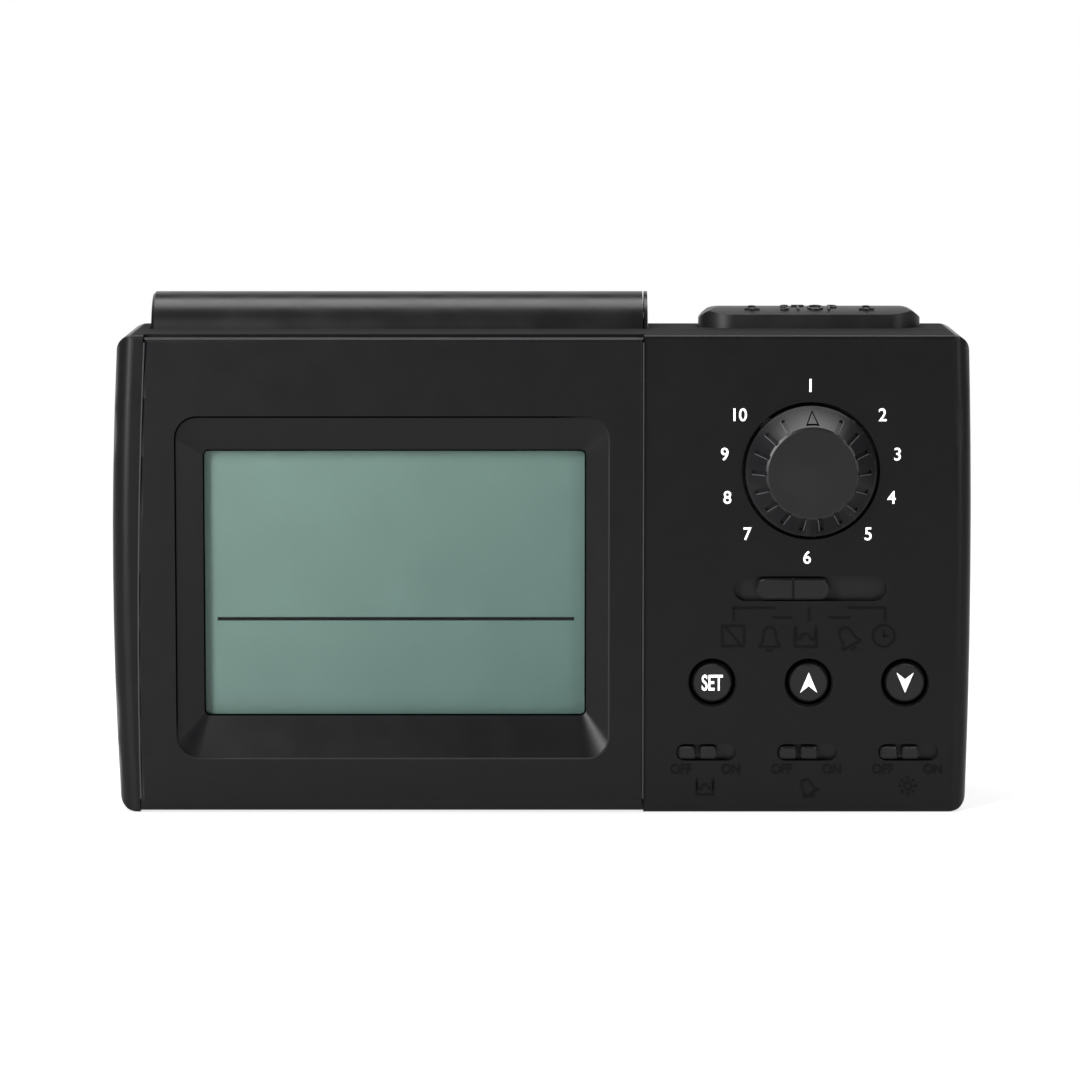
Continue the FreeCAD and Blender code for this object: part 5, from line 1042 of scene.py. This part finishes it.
# %% Dial pointer
POINTER_INNER = 8.5 * MM
POINTER_OUTER = 10.9 * MM
POINTER_HALF = 1.15 * MM
POINTER_PROUD = 0.05 * MM
POINTER_RIM = 0.16 * MM
POINTER_FOOT = 0.36 * MM
half_long = (POINTER_OUTER - POINTER_INNER) / 2 / math.cos(flank_tilt)
pointer_corners = ((0, half_long), (POINTER_HALF, -half_long), (-POINTER_HALF, -half_long))
pointer_rim = trace("dial_pointer", pointer_corners, POINTER_PROUD, POINTER_RIM)
foot_outline = box_outline(POINTER_HALF * 1.7, POINTER_FOOT)
pointer_foot = trace("pointer_foot", foot_outline, POINTER_PROUD)
pointer_foot.location = (0, POINTER_FOOT / 2 - half_long, 0)
place(pointer_foot)
pointer = join("dial_pointer", [pointer_rim, pointer_foot])
on_flank(pointer, (POINTER_INNER + POINTER_OUTER) / 2)
pointer_black = moulded("pointer_black", (0.0012, 0.0012, 0.0014), rough=(0.6, 0.7), gloss=0.0)
finish_mark(pointer, pointer_black, "city_dial")
print(f"pointer {(POINTER_OUTER - POINTER_INNER) / MM:.1f} mm along the dial's radius")

# %% [markdown]
# ## Bright edges of the dial's ticks
# The ticks are cut into the flank, and one edge of each cut catches the light as a fine line, which is
# painted as a highlight. Every line is a thin lighter bar on the cone, beside its tick, on the side away
# from the top. They could be parts of the dial, but then they would share its finish. They are joined to
# one piece, which turns with it.

# %% Tick edges
TICKS = 16
TICK_FIRST = 30.0
TICK_SPREAD = 300.0
TICK_MIDDLE = 9.45 * MM
TICK_ASIDE = 0.4 * MM
tick_outline = box_outline(0.17 * MM, 3.5 * MM)
# Painted highlight: a lighter grey bar beside each tick.
tick_highlight = moulded("tick_highlight", (0.05, 0.05, 0.053), rough=(0.4, 0.5), depth=FILM, gloss=0.2)
tick_edges = []
for number in range(TICKS):
    angle = math.radians(TICK_FIRST + TICK_SPREAD / (TICKS - 1) * number)
    edge_line = trace(f"tick_edge_{number}", tick_outline, INK)
    edge_line.location = (TICK_ASIDE if angle < math.pi else -TICK_ASIDE, 0, 0)
    place(edge_line)
    tick_edges.append(on_flank(edge_line, TICK_MIDDLE, angle))
finish_mark(join("dial_tick_edges", tick_edges), tick_highlight, "city_dial")
print(f"{TICKS} tick edges on one piece")

# %% [markdown]
# ## Step of the sloping frame
# The frame round the display starts at a small step, and its light and shade are painted. The upper and
# left walls are painted dark as shaded, and the lower and right ones a little lighter as lit, by a slow
# change of tone across the frame. One thin border, traced round the frame, stands in the step and
# carries that painted light and shade.

# %% Frame line
FRAME_WIDTH = 77.1 * MM
FRAME_HEIGHT = 61.3 * MM
FRAME_CORNER = 4.0 * MM
FRAME_MIDDLE = Vector((-26.5 * MM, 0, 40.35 * MM))
STEP_DEEP = 0.3 * MM
BORDER = 0.27 * MM
# Painted light and painted shade of the step's walls.
LIT_STEP_TONE = (0.022, 0.022, 0.023)
SHADED_STEP_TONE = (0.0004, 0.0004, 0.0005)


def rounded_outline(across, up, corner, steps=6):
    """A rectangle with round corners about the middle."""
    points = []
    for quarter, (side, top) in enumerate(((1, 1), (-1, 1), (-1, -1), (1, -1))):
        for step in range(steps + 1):
            angle = math.pi / 2 * (quarter + step / steps)
            x = side * (across / 2 - corner) + corner * math.cos(angle)
            points.append((x, top * (up / 2 - corner) + corner * math.sin(angle)))
    return points


line_tone, line_shader = new_material("frame_step_shading")
links = line_tone.node_tree.links
# Painted shade at the upper left and painted light at the lower right.
shade = slope_across(line_tone, FRAME_MIDDLE, FRAME_WIDTH / 2, FRAME_HEIGHT / 2)
shade = remap(line_tone, shade, 0, 1, 0.44, 0.56)
line_colour = colour_between(line_tone, shade, LIT_STEP_TONE, SHADED_STEP_TONE)
links.new(line_colour, line_shader.inputs["Base Color"])
line_grain = object_noise(line_tone, 0.3 * MM)
links.new(from_noise(line_tone, line_grain, 0.5, 0.6), line_shader.inputs["Roughness"])
add_bump(line_tone, line_shader, line_grain.outputs["Fac"], FILM)
line_shader.inputs["Specular IOR Level"].default_value = 0.0
frame_outline = rounded_outline(FRAME_WIDTH, FRAME_HEIGHT, FRAME_CORNER)
frame_step_shading = trace("frame_step_shading", frame_outline, STEP_DEEP, BORDER)
on_front(frame_step_shading, FRAME_MIDDLE.x, panel_face_y + STEP_DEEP, FRAME_MIDDLE.z)
finish_mark(frame_step_shading, line_tone, "case")
print(f"frame line {FRAME_WIDTH / MM:.1f} x {FRAME_HEIGHT / MM:.1f} mm")

# %% [markdown]
# ## Rim of the display opening
# The sloping frame ends at a rim round the window that hardly any light reaches, and that shade is
# painted. It is the same kind of border as the frame's step, smaller and painted quite dark, and it lies
# against the frame's foot, just above the window. A darker tone on the panel itself would need the panel
# cut in two.

# %% Display rim
OPENING_WIDTH = 68.1 * MM
OPENING_HEIGHT = 47.7 * MM
OPENING_CORNER = 1.0 * MM
FRAME_DEEP = 2.8 * MM
RIM_DEEP = 0.3 * MM
# Painted shade: a dark border round the display opening.
rim_shade_tone = (0.0006, 0.0009, 0.0009)
rim_shade = moulded("rim_shade", rim_shade_tone, rough=(0.5, 0.6), depth=FILM, gloss=0.0)
opening = rounded_outline(OPENING_WIDTH, OPENING_HEIGHT, OPENING_CORNER)
rim_line = trace("display_rim", opening, RIM_DEEP, BORDER)
on_front(rim_line, window.x, panel_face_y + FRAME_DEEP + RIM_DEEP, window.z)
finish_mark(rim_line, rim_shade, "case")
print(f"display rim {OPENING_WIDTH / MM:.1f} x {OPENING_HEIGHT / MM:.1f} mm")

# %% [markdown]
# ## Side edges of the display panel
# The panel's long side edges catch the light as fine light lines, and these highlights are painted on
# thin strips. The right edge is straight. The left one leans and bows, so its line is traced up one side
# and down the other through the same curve that shapes the panel: a lean that grows with height, less a
# bow that is greatest halfway up. A mask in the panel's material would need that same curve, written in
# nodes.

# %% Left edge
EDGE_BOW = 0.75 * MM
EDGE_LEAN = 1.3 * MM
EDGE_WIDE = 0.24 * MM
EDGE_DEEP = 0.3 * MM
EDGE_PROUD = 0.2 * MM
EDGE_STEPS = 24
FOOT_GAP = 2.0 * MM
HEAD_GAP = 0.8 * MM
panel_low, panel_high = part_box("display_surround")
edge_low = panel_low.z + FOOT_GAP
edge_high = panel_high.z - HEAD_GAP
furthest_at = 0.5 - EDGE_LEAN / EDGE_BOW / 8
foot_x = panel_low.x - EDGE_LEAN * furthest_at + 4 * EDGE_BOW * furthest_at * (1 - furthest_at)


def left_edge(z):
    """How far out the panel's bowed left edge is at a height."""
    share = (z - panel_low.z) / (panel_high.z - panel_low.z)
    return foot_x + EDGE_LEAN * share - 4 * EDGE_BOW * share * (1 - share)


# Painted highlight: a lighter grey strip along each side edge of the panel.
edge_highlight = moulded("edge_highlight", (0.027, 0.027, 0.028), rough=(0.45, 0.55), depth=FILM)
edge_y = panel_face_y + EDGE_DEEP + EDGE_PROUD
edge_long = edge_high - edge_low
heights = [edge_low + edge_long * step / EDGE_STEPS for step in range(EDGE_STEPS + 1)]
outer = [(left_edge(z) - EDGE_WIDE * 0.4, z) for z in heights]
inner = [(left_edge(z) + EDGE_WIDE * 0.6, z) for z in reversed(heights)]
edge_left = trace("panel_edge_left", inner + outer, EDGE_PROUD)
on_front(edge_left, 0, edge_y, 0)
finish_mark(edge_left, edge_highlight, "case")
print(f"left edge reaches furthest out at {furthest_at:.2f} of the height")

# %% Right edge
edge_right = trace("panel_edge_right", box_outline(EDGE_WIDE, edge_long), EDGE_PROUD)
on_front(edge_right, panel_high.x, edge_y, (edge_low + edge_high) / 2)
finish_mark(edge_right, edge_highlight, "case")
print(f"both edges {edge_long / MM:.1f} mm long")

# %% [markdown]
# ## Line on the display
# One dark line is printed across the display and divides the time above from the date below. A texture
# could hold it, but a film of ink with a thickness keeps its sharp ends from near by. It lies on the
# front sheet of glass, in the gap behind the window.

# %% Display line
LINE_LEFT = -57.9 * MM
LINE_RIGHT = 5.8 * MM
LINE_AT = 34.3 * MM
LINE_THICK = 0.62 * MM
glass_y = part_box("lcd_front_glass")[0].y
display_line = trace("display_line", box_outline(LINE_RIGHT - LINE_LEFT, LINE_THICK), INK)
on_front(display_line, (LINE_LEFT + LINE_RIGHT) / 2, glass_y, LINE_AT)
ink_black = moulded("display_ink", (0.001, 0.0016, 0.0016), rough=(0.4, 0.5), depth=FILM, gloss=0.0)
finish_mark(display_line, ink_black, "case")
print(f"display line {(LINE_RIGHT - LINE_LEFT) / MM:.1f} mm long")
